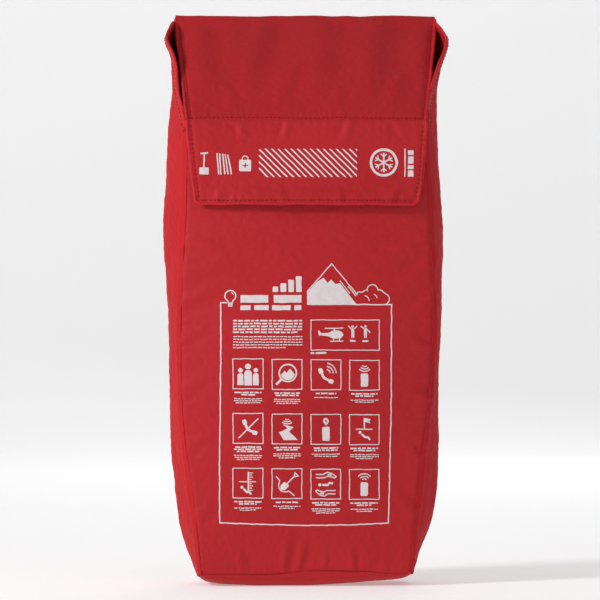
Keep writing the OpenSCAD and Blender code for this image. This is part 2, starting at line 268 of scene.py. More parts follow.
def pile_material(name, colour, pitch, bump):
    """The rough face of a hook or loop panel."""
    n = Nodes(name)
    place = n.add("TexCoord").outputs["Object"]
    cells = n.add("TexVoronoi", {"Vector": place, "Scale": 1 / (pitch * MM)}).outputs["Distance"]
    fuzz = n.noise(place, 1200, detail=3)
    height = n.math("ADD", n.math("MULTIPLY", cells, -1.0), n.math("MULTIPLY", fuzz, 0.7))
    n.bump(height, bump, 0.0008)
    shade = n.span(cells, 0.0, 0.7)
    tone = n.mix(shade, rgba(colour, 1.5), rgba(colour, 0.55))
    n.surface({"Base Color": tone, "Roughness": 0.8, "Sheen Weight": 0.12, "Specular IOR Level": 0.15})
    return n.material


def ink_material(name, colour):
    """Screen-printed ink that lets the cloth's threads show through a little."""
    n = Nodes(name)
    place = n.add("TexCoord").outputs["Object"]
    threads = n.noise(place, 1500, detail=2)
    worn = n.noise(place, 130, detail=4)
    shade = n.span(n.math("ADD", threads, worn), 0.75, 1.3)
    tone = n.mix(shade, rgba(colour, 0.86), rgba(colour))
    height = n.math("MULTIPLY", threads, 0.3)
    n.bump(height, 0.25, 0.0004)
    n.surface({"Base Color": tone, "Roughness": n.span(worn, 0.3, 0.7, 0.5, 0.64)})
    return n.material


def thread_material(name, colour):
    """Twisted sewing thread."""
    n = Nodes(name)
    place = n.add("TexCoord").outputs["Object"]
    inputs = {"Vector": place, "Scale": WAVE_SPAN / (0.3 * MM), "Distortion": 1.0}
    twist = n.add("TexWave", inputs, bands_direction="DIAGONAL").outputs["Fac"]
    n.bump(twist, 0.4, 0.0002)
    tone = n.mix(twist, rgba(colour, 0.8), rgba(colour, 1.15))
    n.surface({"Base Color": tone, "Roughness": 0.6, "Specular IOR Level": 0.2})
    return n.material


RED = (0.455, 0.0185, 0.0235)
BRIGHT_RED = (0.53, 0.021, 0.027)
INNER_RED = (0.15, 0.008, 0.011)
M = {
    "red": cloth_material("red_nylon", RED, crease_bump=0.18, sheen=0.05, specular=0.12),
    "gusset": cloth_material("gusset_nylon", (0.49, 0.019, 0.024), crease_bump=0.25, sheen=0.02,
                             roughness=0.65, specular=0.05),
    "edge": cloth_material("edge_cloth", BRIGHT_RED, weave=0.5, sheen=0.04, specular=0.08),
    "inner": cloth_material("inner_nylon", INNER_RED, sheen=0.15, roughness=0.6),
    "tape": cloth_material("seam_tape", (0.2, 0.009, 0.012), weave=0.9, weave_bump=0.15, roughness=0.7),
    "thread": thread_material("thread", (0.30, 0.011, 0.014)),
    "hook": pile_material("hook_face", (0.02, 0.018, 0.019), 1.1, 0.9),
    "loop": pile_material("loop_face", (0.03, 0.027, 0.029), 0.7, 0.6),
    "ink": ink_material("print_ink", (0.79, 0.70, 0.715)),
}


# ---------------------------------------------------------------- grids of cloth


def curve(table):
    """The smooth curve through a table of (place, value) points, flat at both ends."""
    xs, ys = np.array(table, float).T
    slopes = np.zeros_like(ys)
    slopes[1:-1] = (ys[2:] - ys[:-2]) / (xs[2:] - xs[:-2])

    def at(x):
        x = np.clip(x, xs[0], xs[-1])
        i = np.clip(np.searchsorted(xs, x, side="right") - 1, 0, len(xs) - 2)
        w = xs[i + 1] - xs[i]
        t = (x - xs[i]) / w
        s = 1 - t
        lift = w * t * s * (slopes[i] * s - slopes[i + 1] * t)
        return ys[i] * (1 + 2 * t) * s * s + ys[i + 1] * (3 - 2 * t) * t * t + lift

    return at


def mix(a, b, t):
    return a + (b - a) * t


def ease(t):
    t = np.clip(t, 0, 1)
    return t * t * (3 - 2 * t)


def grid(nu, nv):
    """The u and v of a grid's points, each from 0 to 1."""
    return np.meshgrid(np.linspace(0, 1, nu + 1), np.linspace(0, 1, nv + 1), indexing="ij")


def stack(x, y, z):
    return np.stack(np.broadcast_arrays(x, y, z), axis=-1).astype(float)


def unit(v):
    return v / np.maximum(np.linalg.norm(v, axis=-1, keepdims=True), 1e-12)


def normals(P):
    return unit(np.cross(np.gradient(P, axis=0), np.gradient(P, axis=1)))


def finer(P, n, axis):
    """P with n + 1 points along an axis, on a smooth curve through its own."""
    Q = np.moveaxis(P, axis, 0)
    m = len(Q) - 1
    t = np.linspace(0, m, n + 1)
    i = np.minimum(t.astype(int), m - 1)
    f = (t - i)[:, None, None]
    a, b, c, d = (Q[np.clip(i + k, 0, m)] for k in (-1, 0, 1, 2))
    R = b + 0.5 * f * (c - a + f * (2 * a - 5 * b + 4 * c - d + f * (3 * (b - c) + d - a)))
    return np.moveaxis(R, 0, axis)


def sample(P, u, v):
    """Points of the sheet P at u and v, which may be arrays of any one shape."""
    nu, nv = P.shape[0] - 1, P.shape[1] - 1
    a = np.clip(np.asarray(u, float), 0, 1) * nu
    b = np.clip(np.asarray(v, float), 0, 1) * nv
    i = np.minimum(a.astype(int), nu - 1)
    j = np.minimum(b.astype(int), nv - 1)
    f, g = (a - i)[..., None], (b - j)[..., None]
    low = P[i, j] * (1 - f) + P[i + 1, j] * f
    high = P[i, j + 1] * (1 - f) + P[i + 1, j + 1] * f
    return low * (1 - g) + high * g


def noise(a, b, size_a, size_b, seed):
    """Smooth noise from -1 to 1 over places a and b, with lumps of the given sizes."""
    rng = np.random.default_rng(seed)
    values = rng.uniform(-1, 1, (64, 64))
    x, y = np.asarray(a) / size_a + 1000, np.asarray(b) / size_b + 1000
    i, j = np.floor(x).astype(int), np.floor(y).astype(int)
    f, g = ease(x - i), ease(y - j)
    at = lambda p, q: values[p % 64, q % 64]
    low = at(i, j) * (1 - f) + at(i + 1, j) * f
    high = at(i, j + 1) * (1 - f) + at(i + 1, j + 1) * f
    return low * (1 - g) + high * g


def wander(a, size, seed):
    """Smooth noise along a line."""
    return noise(a, a * 0, size, 1, seed)


def raised(P, rise):
    """P with each point moved out along its normal."""
    return P + normals(P) * rise[..., None]


def quads(index):
    """The quads of a grid of point numbers."""
    corners = [index[:-1, :-1], index[1:, :-1], index[1:, 1:], index[:-1, 1:]]
    return np.stack(corners, axis=-1).reshape(-1, 4)


def puckers(distance, along, seed, pitch=6.5, height=0.55, reach=7.0, groove=1.3):
    """How far cloth rises beside a row of stitches: a groove at the row, and small gathers."""
    phase = along / pitch + 1.3 * wander(along, 23, seed)
    size = 0.5 + 0.5 * wander(along, 12, seed + 1)
    gathers = height * size * np.sin(2 * math.pi * phase) * np.exp(-distance / reach)
    return gathers * ease(distance / 2.5) - groove * np.exp(-(distance / 2.2) ** 2)


def crumple(P, stretch, pressure, cap, pins, frames=22, bending=0.05, seed=1):
    """P after its cloth, cut larger by stretch along X, Y and Z, has settled between its pinned points."""
    nu, nv = P.shape[0], P.shape[1]
    rng = np.random.default_rng(seed)
    start = P + rng.uniform(-0.25, 0.25, P.shape) * (1 - pins)[..., None]
    mesh = bpy.data.meshes.new("cloth")
    faces = quads(np.arange(nu * nv).reshape(nu, nv)).tolist()
    mesh.from_pydata((start.reshape(-1, 3) * MM).tolist(), [], faces)
    cloth = bpy.data.objects.new("cloth", mesh)
    bpy.context.scene.collection.objects.link(cloth)
    cloth.shape_key_add(name="hung")
    cut = cloth.shape_key_add(name="cut")
    middle = P.reshape(-1, 3).mean(axis=0)
    larger = (middle + (P.reshape(-1, 3) - middle) * np.array(stretch)) * MM
    cut.data.foreach_set("co", larger.astype(np.float32).ravel())
    group = cloth.vertex_groups.new(name="pinned")
    for k, w in enumerate(pins.ravel()):
        if w > 0:
            group.add([k], float(w), "REPLACE")
    settings = cloth.modifiers.new("cloth", "CLOTH").settings
    settings.quality = 6
    settings.mass = 0.15
    settings.tension_stiffness = 12
    settings.compression_stiffness = 12
    settings.shear_stiffness = 4
    settings.bending_stiffness = bending
    settings.air_damping = 2
    settings.rest_shape_key = cut
    settings.vertex_group_mass = "pinned"
    settings.use_pressure = pressure > 0
    settings.uniform_pressure_force = pressure
    settings.effector_weights.gravity = 0
    scene = bpy.context.scene
    for number in range(1, frames + 1):
        scene.frame_set(number)
    settled = cloth.evaluated_get(bpy.context.evaluated_depsgraph_get()).to_mesh()
    points = np.empty(nu * nv * 3, np.float32)
    settled.vertices.foreach_get("co", points)
    scene.frame_set(1)
    bpy.data.objects.remove(cloth)
    moved = points.reshape(nu, nv, 3).astype(float) / MM - P
    size = np.linalg.norm(moved, axis=-1, keepdims=True)
    return P + moved * (cap * np.tanh(size / cap) / np.maximum(size, 1e-9))


def border_pins(nu, nv):
    """Pins on all four borders of a grid."""
    pins = np.zeros((nu + 1, nv + 1))
    pins[[0, -1]] = 1
    pins[:, [0, -1]] = 1
    return pins


# ---------------------------------------------------------------- making pieces


# Stitches: the length of one, from one to the next, and the thread's radius
STITCH_LENGTH, STITCH_PITCH, STITCH_R = 2.6, 3.8, 0.34
# Hems: how far they reach down, how far they stand off the cloth, their tape's thickness and its cut width
HEM_W, HEM_COVER, HEM_T, HEM_CUT = 7.0, 0.75, 0.6, 17


def mesh_object(name, points, faces, material):
    mesh = bpy.data.meshes.new(name)
    mesh.from_pydata((np.asarray(points) * MM).tolist(), [], faces)
    mesh.polygons.foreach_set("use_smooth", [True] * len(mesh.polygons))
    mesh.materials.append(material)
    mesh.validate()
    piece = bpy.data.objects.new(name, mesh)
    bpy.context.scene.collection.objects.link(piece)
    return piece


def sheet_object(name, P, thickness, material):
    """A closed sheet with P as its outer face."""
    nu, nv = P.shape[0], P.shape[1]
    inner = P - normals(P) * thickness
    index = np.arange(nu * nv).reshape(nu, nv)
    outer_faces = quads(index)
    inner_faces = outer_faces[:, ::-1] + nu * nv
    rim = np.concatenate([index[:, 0], index[-1, 1:], index[-2::-1, -1], index[0, -2:0:-1]])
    ahead = np.roll(rim, -1)
    rim_faces = np.stack([rim + nu * nv, ahead + nu * nv, ahead, rim], axis=-1)
    points = np.concatenate([P.reshape(-1, 3), inner.reshape(-1, 3)])
    faces = np.concatenate([outer_faces, inner_faces, rim_faces]).tolist()
    return mesh_object(name, points, faces, material)


def rings(first, second, sides):
    """Round rings of unit size, each starting along first and turning towards second."""
    turn = 2 * math.pi * np.arange(sides) / sides
    return np.cos(turn)[None, :, None] * first[:, None] + np.sin(turn)[None, :, None] * second[:, None]


def tube_faces(index):
    """The walls between a tube's rings of point numbers, and a cap at each end."""
    ahead = np.roll(index, -1, axis=1)
    walls = np.stack([index[:-1], ahead[:-1], ahead[1:], index[1:]], axis=-1)
    return walls.reshape(-1, 4).tolist() + [index[0, ::-1].tolist(), index[-1].tolist()]


def tube_object(name, path, radius, material, sides=8):
    """A closed round tube along a path; radius is one number or one for each point."""
    path = np.asarray(path, float)
    n = len(path)
    along = unit(np.gradient(path, axis=0))
    out = unit(np.cross(along, [0.31, 0.2, 0.93]))
    for k in range(1, n):
        out[k] = unit(out[k - 1] - along[k] * (out[k - 1] @ along[k]))
    side = np.cross(along, out)
    radius = np.broadcast_to(radius, (n,))
    points = path[:, None] + rings(out, side, sides) * radius[:, None, None]
    faces = tube_faces(np.arange(n * sides).reshape(n, sides))
    return mesh_object(name, points.reshape(-1, 3), faces, material)


def arc_length(path):
    return np.concatenate([[0], np.cumsum(np.linalg.norm(np.diff(path, axis=0), axis=1))])


def stitch_rows(name, rows):
    """Rows of short raised stitches; each row is (path, outward normals)."""
    points, faces = [], []
    sides, shares = 6, np.array([0, 0.12, 0.5, 0.88, 1.0])
    sizes = STITCH_R * np.array([0.35, 0.85, 1.0, 0.85, 0.35])
    sink = np.array([-0.25, 0.12, 0.22, 0.12, -0.25])
    for path, out in rows:
        s = arc_length(path)
        for k in range(int(s[-1] / STITCH_PITCH)):
            places = (k + 0.15) * STITCH_PITCH + shares * STITCH_LENGTH
            at = np.stack([np.interp(places, s, path[:, c]) for c in range(3)], axis=1)
            up = unit(np.stack([np.interp(places, s, out[:, c]) for c in range(3)], axis=1))
            side = unit(np.cross(np.gradient(at, axis=0), up))
            ring = rings(side, up, sides) * sizes[:, None, None]
            first = len(points) * len(shares) * sides
            faces += tube_faces(first + np.arange(len(shares) * sides).reshape(len(shares), sides))
            points.append((at[:, None] + up[:, None] * sink[:, None, None] + ring).reshape(-1, 3))
    return mesh_object(name, np.concatenate(points), faces, M["thread"])


def row_on(P, u, v, lift=0.0):
    """A row's path and normals along the u and v of the sheet P."""
    out = unit(sample(normals(P), u, v))
    return sample(P, u, v) + out * lift, out


def laid_on(P, points):
    """The nearest places on the sheet P, and its normals there."""
    flat, out = P.reshape(-1, 3), normals(P).reshape(-1, 3)
    tree = KDTree(len(flat))
    for k, co in enumerate(flat):
        tree.insert(co, k)
    tree.balance()
    nearest = np.array([tree.find(q)[1] for q in points.reshape(-1, 3)]).reshape(points.shape[:-1])
    n = out[nearest]
    return points - n * ((points - flat[nearest]) * n).sum(-1, keepdims=True), n


def square_to(edge, down):
    """The directions down, made square to the line edge."""
    along = unit(np.gradient(edge, axis=0))
    return unit(down - along * (down * along).sum(-1, keepdims=True))


def folded_tape(name, P, edge, down):
    """Tape folded over the edge of the sheet P and lying on both its faces; down points into the cloth."""
    down = square_to(edge, down)
    depths = np.linspace(HEM_W, 0, 5)
    lie, n = laid_on(P, edge[:, None] + down[:, None] * depths[None, :, None])
    outer = lie + n * HEM_COVER
    inner = (lie - n * (SHELL_T + HEM_COVER))[:, ::-1]
    middle = edge - n[:, -1] * SHELL_T / 2
    bends = np.radians(np.linspace(15, 165, 6))[None, :, None]
    half = HEM_COVER + SHELL_T / 2
    round_edge = middle[:, None] + (n[:, -1:] * np.cos(bends) - down[:, None] * np.sin(bends)) * half
    tape = np.concatenate([outer, round_edge, inner], axis=1)
    return sheet_object(name, tape, HEM_T, M["edge"])


def cloth(piece, body, nodes, flat, held="stretched", area=None, blend=None):
    """Says where a cloth piece rides and which CAD nodes it stands for; the size it was cut to is not used.
    """
    if blend:
        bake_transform(piece)
    else:
        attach(piece, body)
    if nodes:
        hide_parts(*nodes)
    return piece


# ---------------------------------------------------------------- the pouch's shape

# Across the front at each height: the two front seams, and how far the sides reach past them
left_seam = curve([(0, -92.5), (12, -93.2), (49, -96.4), (88, -101), (136, -108), (179, -110),
                   (245, -110), (325, -105.8), (362, -105), (400, -103.6)])
right_seam = curve([(0, 92), (12, 92.5), (49, 94.5), (88, 97.7), (136, 104.2), (179, 109.2),
                    (245, 111.3), (325, 107.5), (362, 105.6), (400, 103.4)])
left_side = curve([(0, -93), (12, -96.5), (29, -102.5), (56, -110.2), (91, -114.6), (125, -117.6),
                   (161, -118.6), (240, -120), (310, -123.5), (346, -122), (398, -119.2), (433, -115.6),
                   (458, -115.3),
                   (477, -120.9), (496, -115.8)])
right_side = curve([(0, 92), (12, 96), (29, 101.6), (56, 111.6), (91, 117.4), (161, 117.8), (240, 120.6),
                    (310, 121.6), (346, 119.6), (398, 116.6), (433, 116.2), (458, 118.8), (477, 124.8),
                    (488, 120.6), (496, 116.8)])
# How far each gusset's mouth edge is pushed out, beside the flap
left_splay = curve([(400, 0.4), (414, 1.2), (430, 3), (445, 2.6), (458, 1.5), (468, 0.3), (501, 0)])
right_splay = curve([(400, 0), (432, 0.3), (440, 1.6), (450, 2.8), (462, 3.2), (474, 1.2),
                     (485, 0), (501, 0)])
back_half = curve([(0, 91.7), (45, 98.2), (109, 107), (200, 113), (300, 115), (413, 112.6),
                   (487, 115.4), (501, 115.6)])
lean = curve([(0, 0), (400, 0.3), (501, 1.5)])
crown = curve([(0, 2.8), (60, 8.4), (150, 13), (228, 14), (328, 9.1), (400, 3.4)])
CROWN_POWER = 2.4
# Heights of the seam round the base, along the front and along the back, and of the belly below it
front_foot = curve([(-93, 10.5), (-40, 10.7), (8, 13.6), (48, 13.4), (80, 10.9), (93, 13)])
BACK_FOOT = 9.5
belly = curve([(-96, 5.4), (-88, 3), (-70, 1.2), (-50, 0), (4, 0), (52, 2.6), (73, 4.2),
               (84, 5.4), (95, 7.4)])
FOOT_SAG = 3.6
FLANGE = 1.2
# The height at which the foot's width is taken
FOOT_Z = 12
# The share of a gusset's height where its splay begins, and over how much it grows
SPLAY_FROM, SPLAY_SPAN = 0.88, 0.12
mouth_rise = curve([(0, 0), (0.1, 0.17), (0.3, 0.52), (0.5, 0.8), (0.75, 0.96), (1, 1)])
HEM_TOP = GUSSET_Z + 8
SHELL_T = 1.0
BACK_SEAM_Y = BACK_Y - 0.7


def front_depth(x, z):
    """Where the front's cloth lies before it settles."""
    left, right = left_seam(z), right_seam(z)
    share = np.abs(2 * (x - left) / (right - left) - 1)
    return SEAM_Y - crown(z) * (1 - np.minimum(share, 1) ** CROWN_POWER)


def front_sheet(nu, nv):
    u, v = grid(nu, nv)
    foot = front_foot(mix(left_seam(FOOT_Z), right_seam(FOOT_Z), u))
    z = mix(foot, MOUTH_Z, v)
    x = mix(left_seam(z), right_seam(z), u)
    return stack(x, front_depth(x, z), z)


def gusset_sheet(side, nu, nv):
    """One side gusset; u runs from front to back on the right, and from back to front on the left."""
    u, v = grid(nu, nv)
    seam, reach = (left_seam, left_side) if side < 0 else (right_seam, right_side)
    foot = mix(front_foot(seam(FOOT_Z)), BACK_FOOT, u) - FOOT_SAG * np.sin(math.pi * u)
    z = mix(foot, mix(MOUTH_Z, HEM_TOP, mouth_rise(u)), v)
    front, back = seam(z), side * back_half(z) + lean(z)
    swell = np.sin(math.pi * u ** 1.15)
    x = mix(front, back, u) + (reach(z) - mix(front, back, 0.5)) * swell
    splay = left_splay if side < 0 else right_splay
    x = x + side * splay(z) * ease((v - SPLAY_FROM) / SPLAY_SPAN)
    P = stack(x, mix(SEAM_Y, BACK_SEAM_Y, u), z)
    return P if side > 0 else P[::-1].copy()


def back_sheet(nu, nv):
    u, v = grid(nu, nv)
    z = mix(BACK_FOOT, BACK_TOP, v)
    x = mix(back_half(z), -back_half(z), u) + lean(z)
    waves = 0.9 * noise(x, z, 60, 90, 41) + 0.5 * noise(x, z, 22, 35, 42) - 0.9
    return stack(x, BACK_Y + waves * ease((1 - np.abs(2 * u - 1)) * 4), z)


def base_sheet(nu, nv):
    u, v = grid(nu, nv)
    depth = 1 - v
    left = mix(left_seam(FOOT_Z), -back_half(FOOT_Z), depth) - 2 * np.sin(math.pi * depth)
    right = mix(right_seam(FOOT_Z), back_half(FOOT_Z), depth) + 1.5 * np.sin(math.pi * depth)
    x = mix(left, right, u)
    y = mix(front_depth(x, FOOT_Z), BACK_SEAM_Y, depth)
    ring = mix(front_foot(x), BACK_FOOT, depth) - FOOT_SAG * np.sin(math.pi * depth) * np.abs(2 * u - 1) ** 20
    inside = (1 - np.abs(2 * depth - 1) ** 6) * (1 - np.abs(2 * u - 1) ** 30)
    P = stack(x, y, mix(ring, belly(x), inside))
    # The allowance turns up inside the walls
    P[:, 0] += (0, -FLANGE, FLANGE)
    P[:, -1] += (0, FLANGE, FLANGE)
    P[0] += (FLANGE, 0, FLANGE)
    P[-1] += (-FLANGE, 0, FLANGE)
    return P


# ---------------------------------------------------------------- body cloth


def fold(x, z, a, b, width, height):
    """A ridge with a valley beside it, along the line from a to b, dying away at both ends."""
    (ax, az), (bx, bz) = a, b
    length = math.hypot(bx - ax, bz - az)
    t = ((x - ax) * (bx - ax) + (z - az) * (bz - az)) / length ** 2
    off = ((x - ax) * (bz - az) - (z - az) * (bx - ax)) / length / width
    across = np.exp(-off ** 2) - 0.7 * np.exp(-(off - 1.7) ** 2)
    return height * across * ease((t + 0.15) / 0.3) * ease((1.1 - t) / 0.7)


def with_folds(rise, x, z, folds):
    """rise with every fold of a table added."""
    for a, b, width, height in folds:
        rise = rise + fold(x, z, a, b, width, height)
    return rise


# Tension folds of the front: from, to, width and height
FRONT_FOLDS = [
    ((-21, 14), (-16, 50), 4, 1.3), ((-8, 15), (-1, 44), 3.5, 1.2), ((40, 14), (38, 38), 3, 1.0),
    ((-55, 12), (-62, 36), 4, 0.7), ((66, 12), (70, 34), 4, 0.5), ((14, 15), (16, 34), 3, 0.6),
    ((-106, 300), (-70, 292), 5, 1.1), ((-108, 272), (-60, 280), 6, 1.0), ((-109, 246), (-74, 262), 5, 1.0),
    ((-110, 214), (-86, 226), 4, 0.8), ((-109, 170), (-84, 186), 5, 0.8), ((-104, 120), (-84, 132), 4, 0.8),
    ((107, 306), (60, 286), 6, 1.2), ((110, 280), (72, 262), 5, 1.1), ((111, 250), (84, 236), 5, 1.0),
    ((110, 206), (88, 214), 4, 0.9), ((108, 160), (86, 172), 5, 0.9), ((100, 110), (84, 124), 4, 0.9),
    ((95, 60), (74, 84), 5, 0.9), ((-97, 60), (-80, 78), 5, 0.7), ((30, 318), (-30, 310), 7, 0.6),
]


def make_front():
    nu, nv = 64, 112
    P = front_sheet(nu, nv)
    pins = border_pins(nu, nv)
    pins = np.maximum(pins, 0.75 * ease((P[..., 2] - 322) / 14))
    P = crumple(P, (1.016, 1, 1.012), pressure=1.5, cap=3.2, pins=pins, seed=3)
    P = finer(finer(P, 150, 0), 260, 1)
    x, z = P[..., 0], P[..., 2]
    rise = puckers(x - left_seam(z), z, 11) + puckers(right_seam(z) - x, z, 12)
    rise = rise + puckers(z - front_foot(x), x, 13, height=0.4, reach=6)
    rise = with_folds(rise, x, z, FRONT_FOLDS)
    rise = rise + 0.12 * noise(x, z, 9, 12, 14) + 0.5 * noise(x, z, 34, 46, 15)
    return raised(P, rise)


def make_gusset(side):
    nu, nv = 26, 150
    P = gusset_sheet(side, nu, nv)
    pins = border_pins(nu, nv)
    stretch = (1.03, 1.09, 1.022)
    P = crumple(P, stretch, pressure=1.2, cap=5.0, pins=pins, frames=26, bending=0.02, seed=5 + side)
    P = finer(finer(P, 56, 0), 330, 1)
    y, z = P[..., 1], P[..., 2]
    rise = puckers(y - SEAM_Y, z, 21 + side, height=0.6, groove=1.0)
    rise = rise + puckers(BACK_SEAM_Y - y, z, 24 + side, height=0.6, groove=1.0)
    # The seam allowance lies folded into the gusset and shows as a ridge
    rise = rise + 1.0 * np.exp(-((y - SEAM_Y - 5) / 2.2) ** 2)
    rise = rise + 0.5 * noise(y, z, 9, 16, 27 + side) + 0.2 * noise(y, z, 5, 6, 30 + side)
    return raised(P, rise)


def make_base():
    P = base_sheet(120, 56)
    x, y = P[..., 0], P[..., 1]
    in_x = np.minimum(x - left_seam(FOOT_Z), right_seam(FOOT_Z) - x) + 2
    in_y = np.minimum(y - front_depth(x, FOOT_Z), BACK_SEAM_Y - y)
    rise = puckers(np.maximum(in_y, 0), x, 51, height=0.6, groove=0.9)
    rise = rise + puckers(np.maximum(in_x, 0), y, 52, height=0.5, groove=0.9)
    rise = rise + 0.35 * noise(x, y, 14, 14, 53) * ease(in_y / 10)
    P = raised(P, rise)
    P[..., 2] = np.maximum(P[..., 2], 0)
    return P


# The sleeves are sewn to the back along these upright rows
SLEEVE_SEAMS = [node_box(f"{word}_sleeve")[end][0] for word in ("probe", "shaft") for end in (0, 1)]
SLEEVE_FOOT = node_box("probe_sleeve")[0][2]
BACK_FOLDS = [
    ((-100, 440), (-40, 452), 7, 1.1), ((100, 430), (50, 446), 7, 1.0), ((-60, 470), (-24, 400), 8, 0.9),
    ((30, 480), (62, 396), 8, 0.9), ((-108, 200), (-84, 230), 6, 0.8), ((108, 250), (82, 280), 6, 0.8),
    ((-98, 60), (-74, 84), 6, 0.9), ((92, 40), (70, 66), 6, 0.9), ((-46, 12), (-40, 56), 6, 0.9),
    ((44, 12), (38, 50), 6, 0.8), ((-52, 300), (-38, 236), 8, 0.8), ((46, 210), (36, 140), 8, 0.8),
]


def make_back():
    P = back_sheet(170, 300)
    x, z = P[..., 0], P[..., 2]
    rise = puckers(back_half(z) - np.abs(x), z, 61, height=0.4, groove=0.8)
    rise = rise + puckers(z - BACK_FOOT, x, 62, height=0.4, groove=0.8)
    sewn = ease((SLEEVE_TOP + 4 - z) / 8) * ease((z - SLEEVE_FOOT + 4) / 8)
    for k, seam_x in enumerate(SLEEVE_SEAMS):
        rise = rise + sewn * puckers(np.abs(x - seam_x), z, 63 + k, height=0.4, reach=5, groove=0.7)
    rise = with_folds(rise, x, z, BACK_FOLDS)
    return raised(P, rise)


front = make_front()
gussets = {-1: make_gusset(-1), 1: make_gusset(1)}
base = make_base()
back = make_back()
SIDE_NAME = {-1: "left", 1: "right"}
FRONT_CUT = (222, 390)
GUSSET_CUT = (84, 486)
BACK_CUT = (232, 484)

front_piece = sheet_object("front_cloth", front, SHELL_T, M["red"])
cloth(front_piece, "pouch", ["front_panel"], FRONT_CUT, area=82500)
back_piece = sheet_object("back_cloth", back, SHELL_T, M["red"])
cloth(back_piece, "pouch", ["back_panel"], BACK_CUT, area=105500)
base_piece = sheet_object("base_cloth", base, SHELL_T, M["red"])
cloth(base_piece, "pouch", ["base_panel"], (190, 90))
for side, P in gussets.items():
    piece = sheet_object(f"{SIDE_NAME[side]}_gusset_cloth", P, SHELL_T, M["gusset"])
    cloth(piece, "pouch", [f"{SIDE_NAME[side]}_gusset"], GUSSET_CUT, held="gathered", area=37500)


def seam_tape(P, name, node, u0, u1):
    """Tape inside a gusset, over one of its seams."""
    u, v = np.meshgrid(np.linspace(u0, u1, 4), np.linspace(0.03, 0.965, 160), indexing="ij")
    strip = sample(P, u, v) - unit(sample(normals(P), u, v)) * (SHELL_T + 0.3)
    piece = sheet_object(name, strip, 0.7, M["tape"])
    length = arc_length(strip[1])[-1]
    cloth(piece, "pouch", [node], (arc_length(strip[:, 80])[-1], length), held="folded")


def base_tape():
    """Tape inside the walls, all round the seam at the foot."""
    rows = []
    for P, height in ((front, 390), (gussets[1], 470), (back, 484), (gussets[-1], 470)):
        u, v = np.meshgrid(np.linspace(0.02, 0.98, 60), np.linspace(2.5, 14.5, 5) / height, indexing="ij")
        rows.append(sample(P, u, v) - unit(sample(normals(P), u, v)) * (SHELL_T + 0.3))
    ring = np.concatenate(rows + [rows[0][:1]])
    piece = sheet_object("base_seam_tape", ring, 0.7, M["tape"])
    cloth(piece, "pouch", ["base_binding"], (12, arc_length(ring[:, 2])[-1]), held="folded")


base_tape()


def hem_stitch_rows(P, edge, down):
    """One row of stitches on each side of a hem."""
    lie, n = laid_on(P, edge + square_to(edge, down) * (HEM_W - 2))
    inside = lie - n * (SHELL_T + HEM_COVER + 0.05)
    return [(lie + n * (HEM_COVER + 0.05), n), (inside[::-1], -n[::-1])]


def mouth_hem(word, P, count, dip):
    """The hem over a sheet's upper edge, and its stitches."""
    u = np.linspace(0.004, 0.996, count)
    edge = sample(P, u, np.ones_like(u))
    down = unit(sample(P, u, np.full_like(u, dip)) - edge)
    hem = folded_tape(f"{word}_mouth_hem", P, edge, down)
    cloth(hem, "pouch", [f"{word}_mouth_binding"], (HEM_CUT, arc_length(edge)[-1]), held="folded")
    rows = hem_stitch_rows(P, edge, down)
    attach(stitch_rows(f"{word}_hem_stitches", rows), "pouch")


for side, P in gussets.items():
    word = SIDE_NAME[side]
    near, far = ((0.012, 0.155), (0.845, 0.988))[::side]
    seam_tape(P, f"{word}_front_seam_tape", f"{word}_front_binding", *near)
    seam_tape(P, f"{word}_back_seam_tape", f"{word}_back_binding", *far)
    mouth_hem(word, P, 70, 0.975)
mouth_hem("front", front, 120, 0.97)

z = np.linspace(SLEEVE_FOOT, SLEEVE_TOP - 2, 150)
v = (z - BACK_FOOT) / (BACK_TOP - BACK_FOOT)
rows = [row_on(back, (back_half(z) - seam_x + lean(z)) / 2 / back_half(z), v, 0.1)
        for seam_x in SLEEVE_SEAMS]
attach(stitch_rows("sleeve_seam_stitches", rows), "pouch")


# ---------------------------------------------------------------- inner sleeves


def sleeve(word):
    """A soft channel on the back panel, gathered in to nothing at its foot."""
    (x0, y0, z0), (x1, _, _) = node_box(f"{word}_sleeve")
    y1, z1 = BACK_Y - 3.4, SLEEVE_TOP
    width, depth = x1 - x0, y1 - y0
    corner = 9.0
    bends = np.radians(np.linspace(0, 90, 7))
    xs = np.concatenate([np.zeros(6), corner * (1 - np.cos(bends)), np.linspace(corner + 3, width / 2, 8)])
    ys = np.concatenate([np.linspace(0, depth - corner - 2, 6), depth - corner * (1 - np.sin(bends)),
                         np.full(8, depth)])
    xs = np.concatenate([xs, width - xs[-2::-1]])
    ys = np.concatenate([ys, ys[-2::-1]])
    v = np.linspace(0, 1, 90)[None]
    open_share = 0.1 + 0.9 * ease(v / 0.22)
    X = x0 + xs[:, None] + 0 * v
    Y = y1 - ys[:, None] * open_share
    Z = mix(z0, z1, v) + 0 * xs[:, None]
    P = stack(X, Y, Z)
    rise = 0.7 * noise(X + Y, Z, 16, 30, len(word)) - 0.5
    return raised(P, rise)


for word in ("probe", "shaft"):
    P = sleeve(word)
    piece = sheet_object(f"{word}_sleeve_cloth", P, SHELL_T, M["inner"])
    around = arc_length(P[:, -1])[-1]
    cloth(piece, "pouch", [f"{word}_sleeve"], (around, 300), held="gathered", area=around * 300 * 0.9)
    edge = P[:, -1]
    down = np.broadcast_to([0.0, 0.0, -1.0], edge.shape)
    hem = folded_tape(f"{word}_sleeve_hem", P, edge, down)
    cloth(hem, "pouch", [f"{word}_sleeve_binding"], (HEM_CUT, around), held="folded")


# ---------------------------------------------------------------- flap

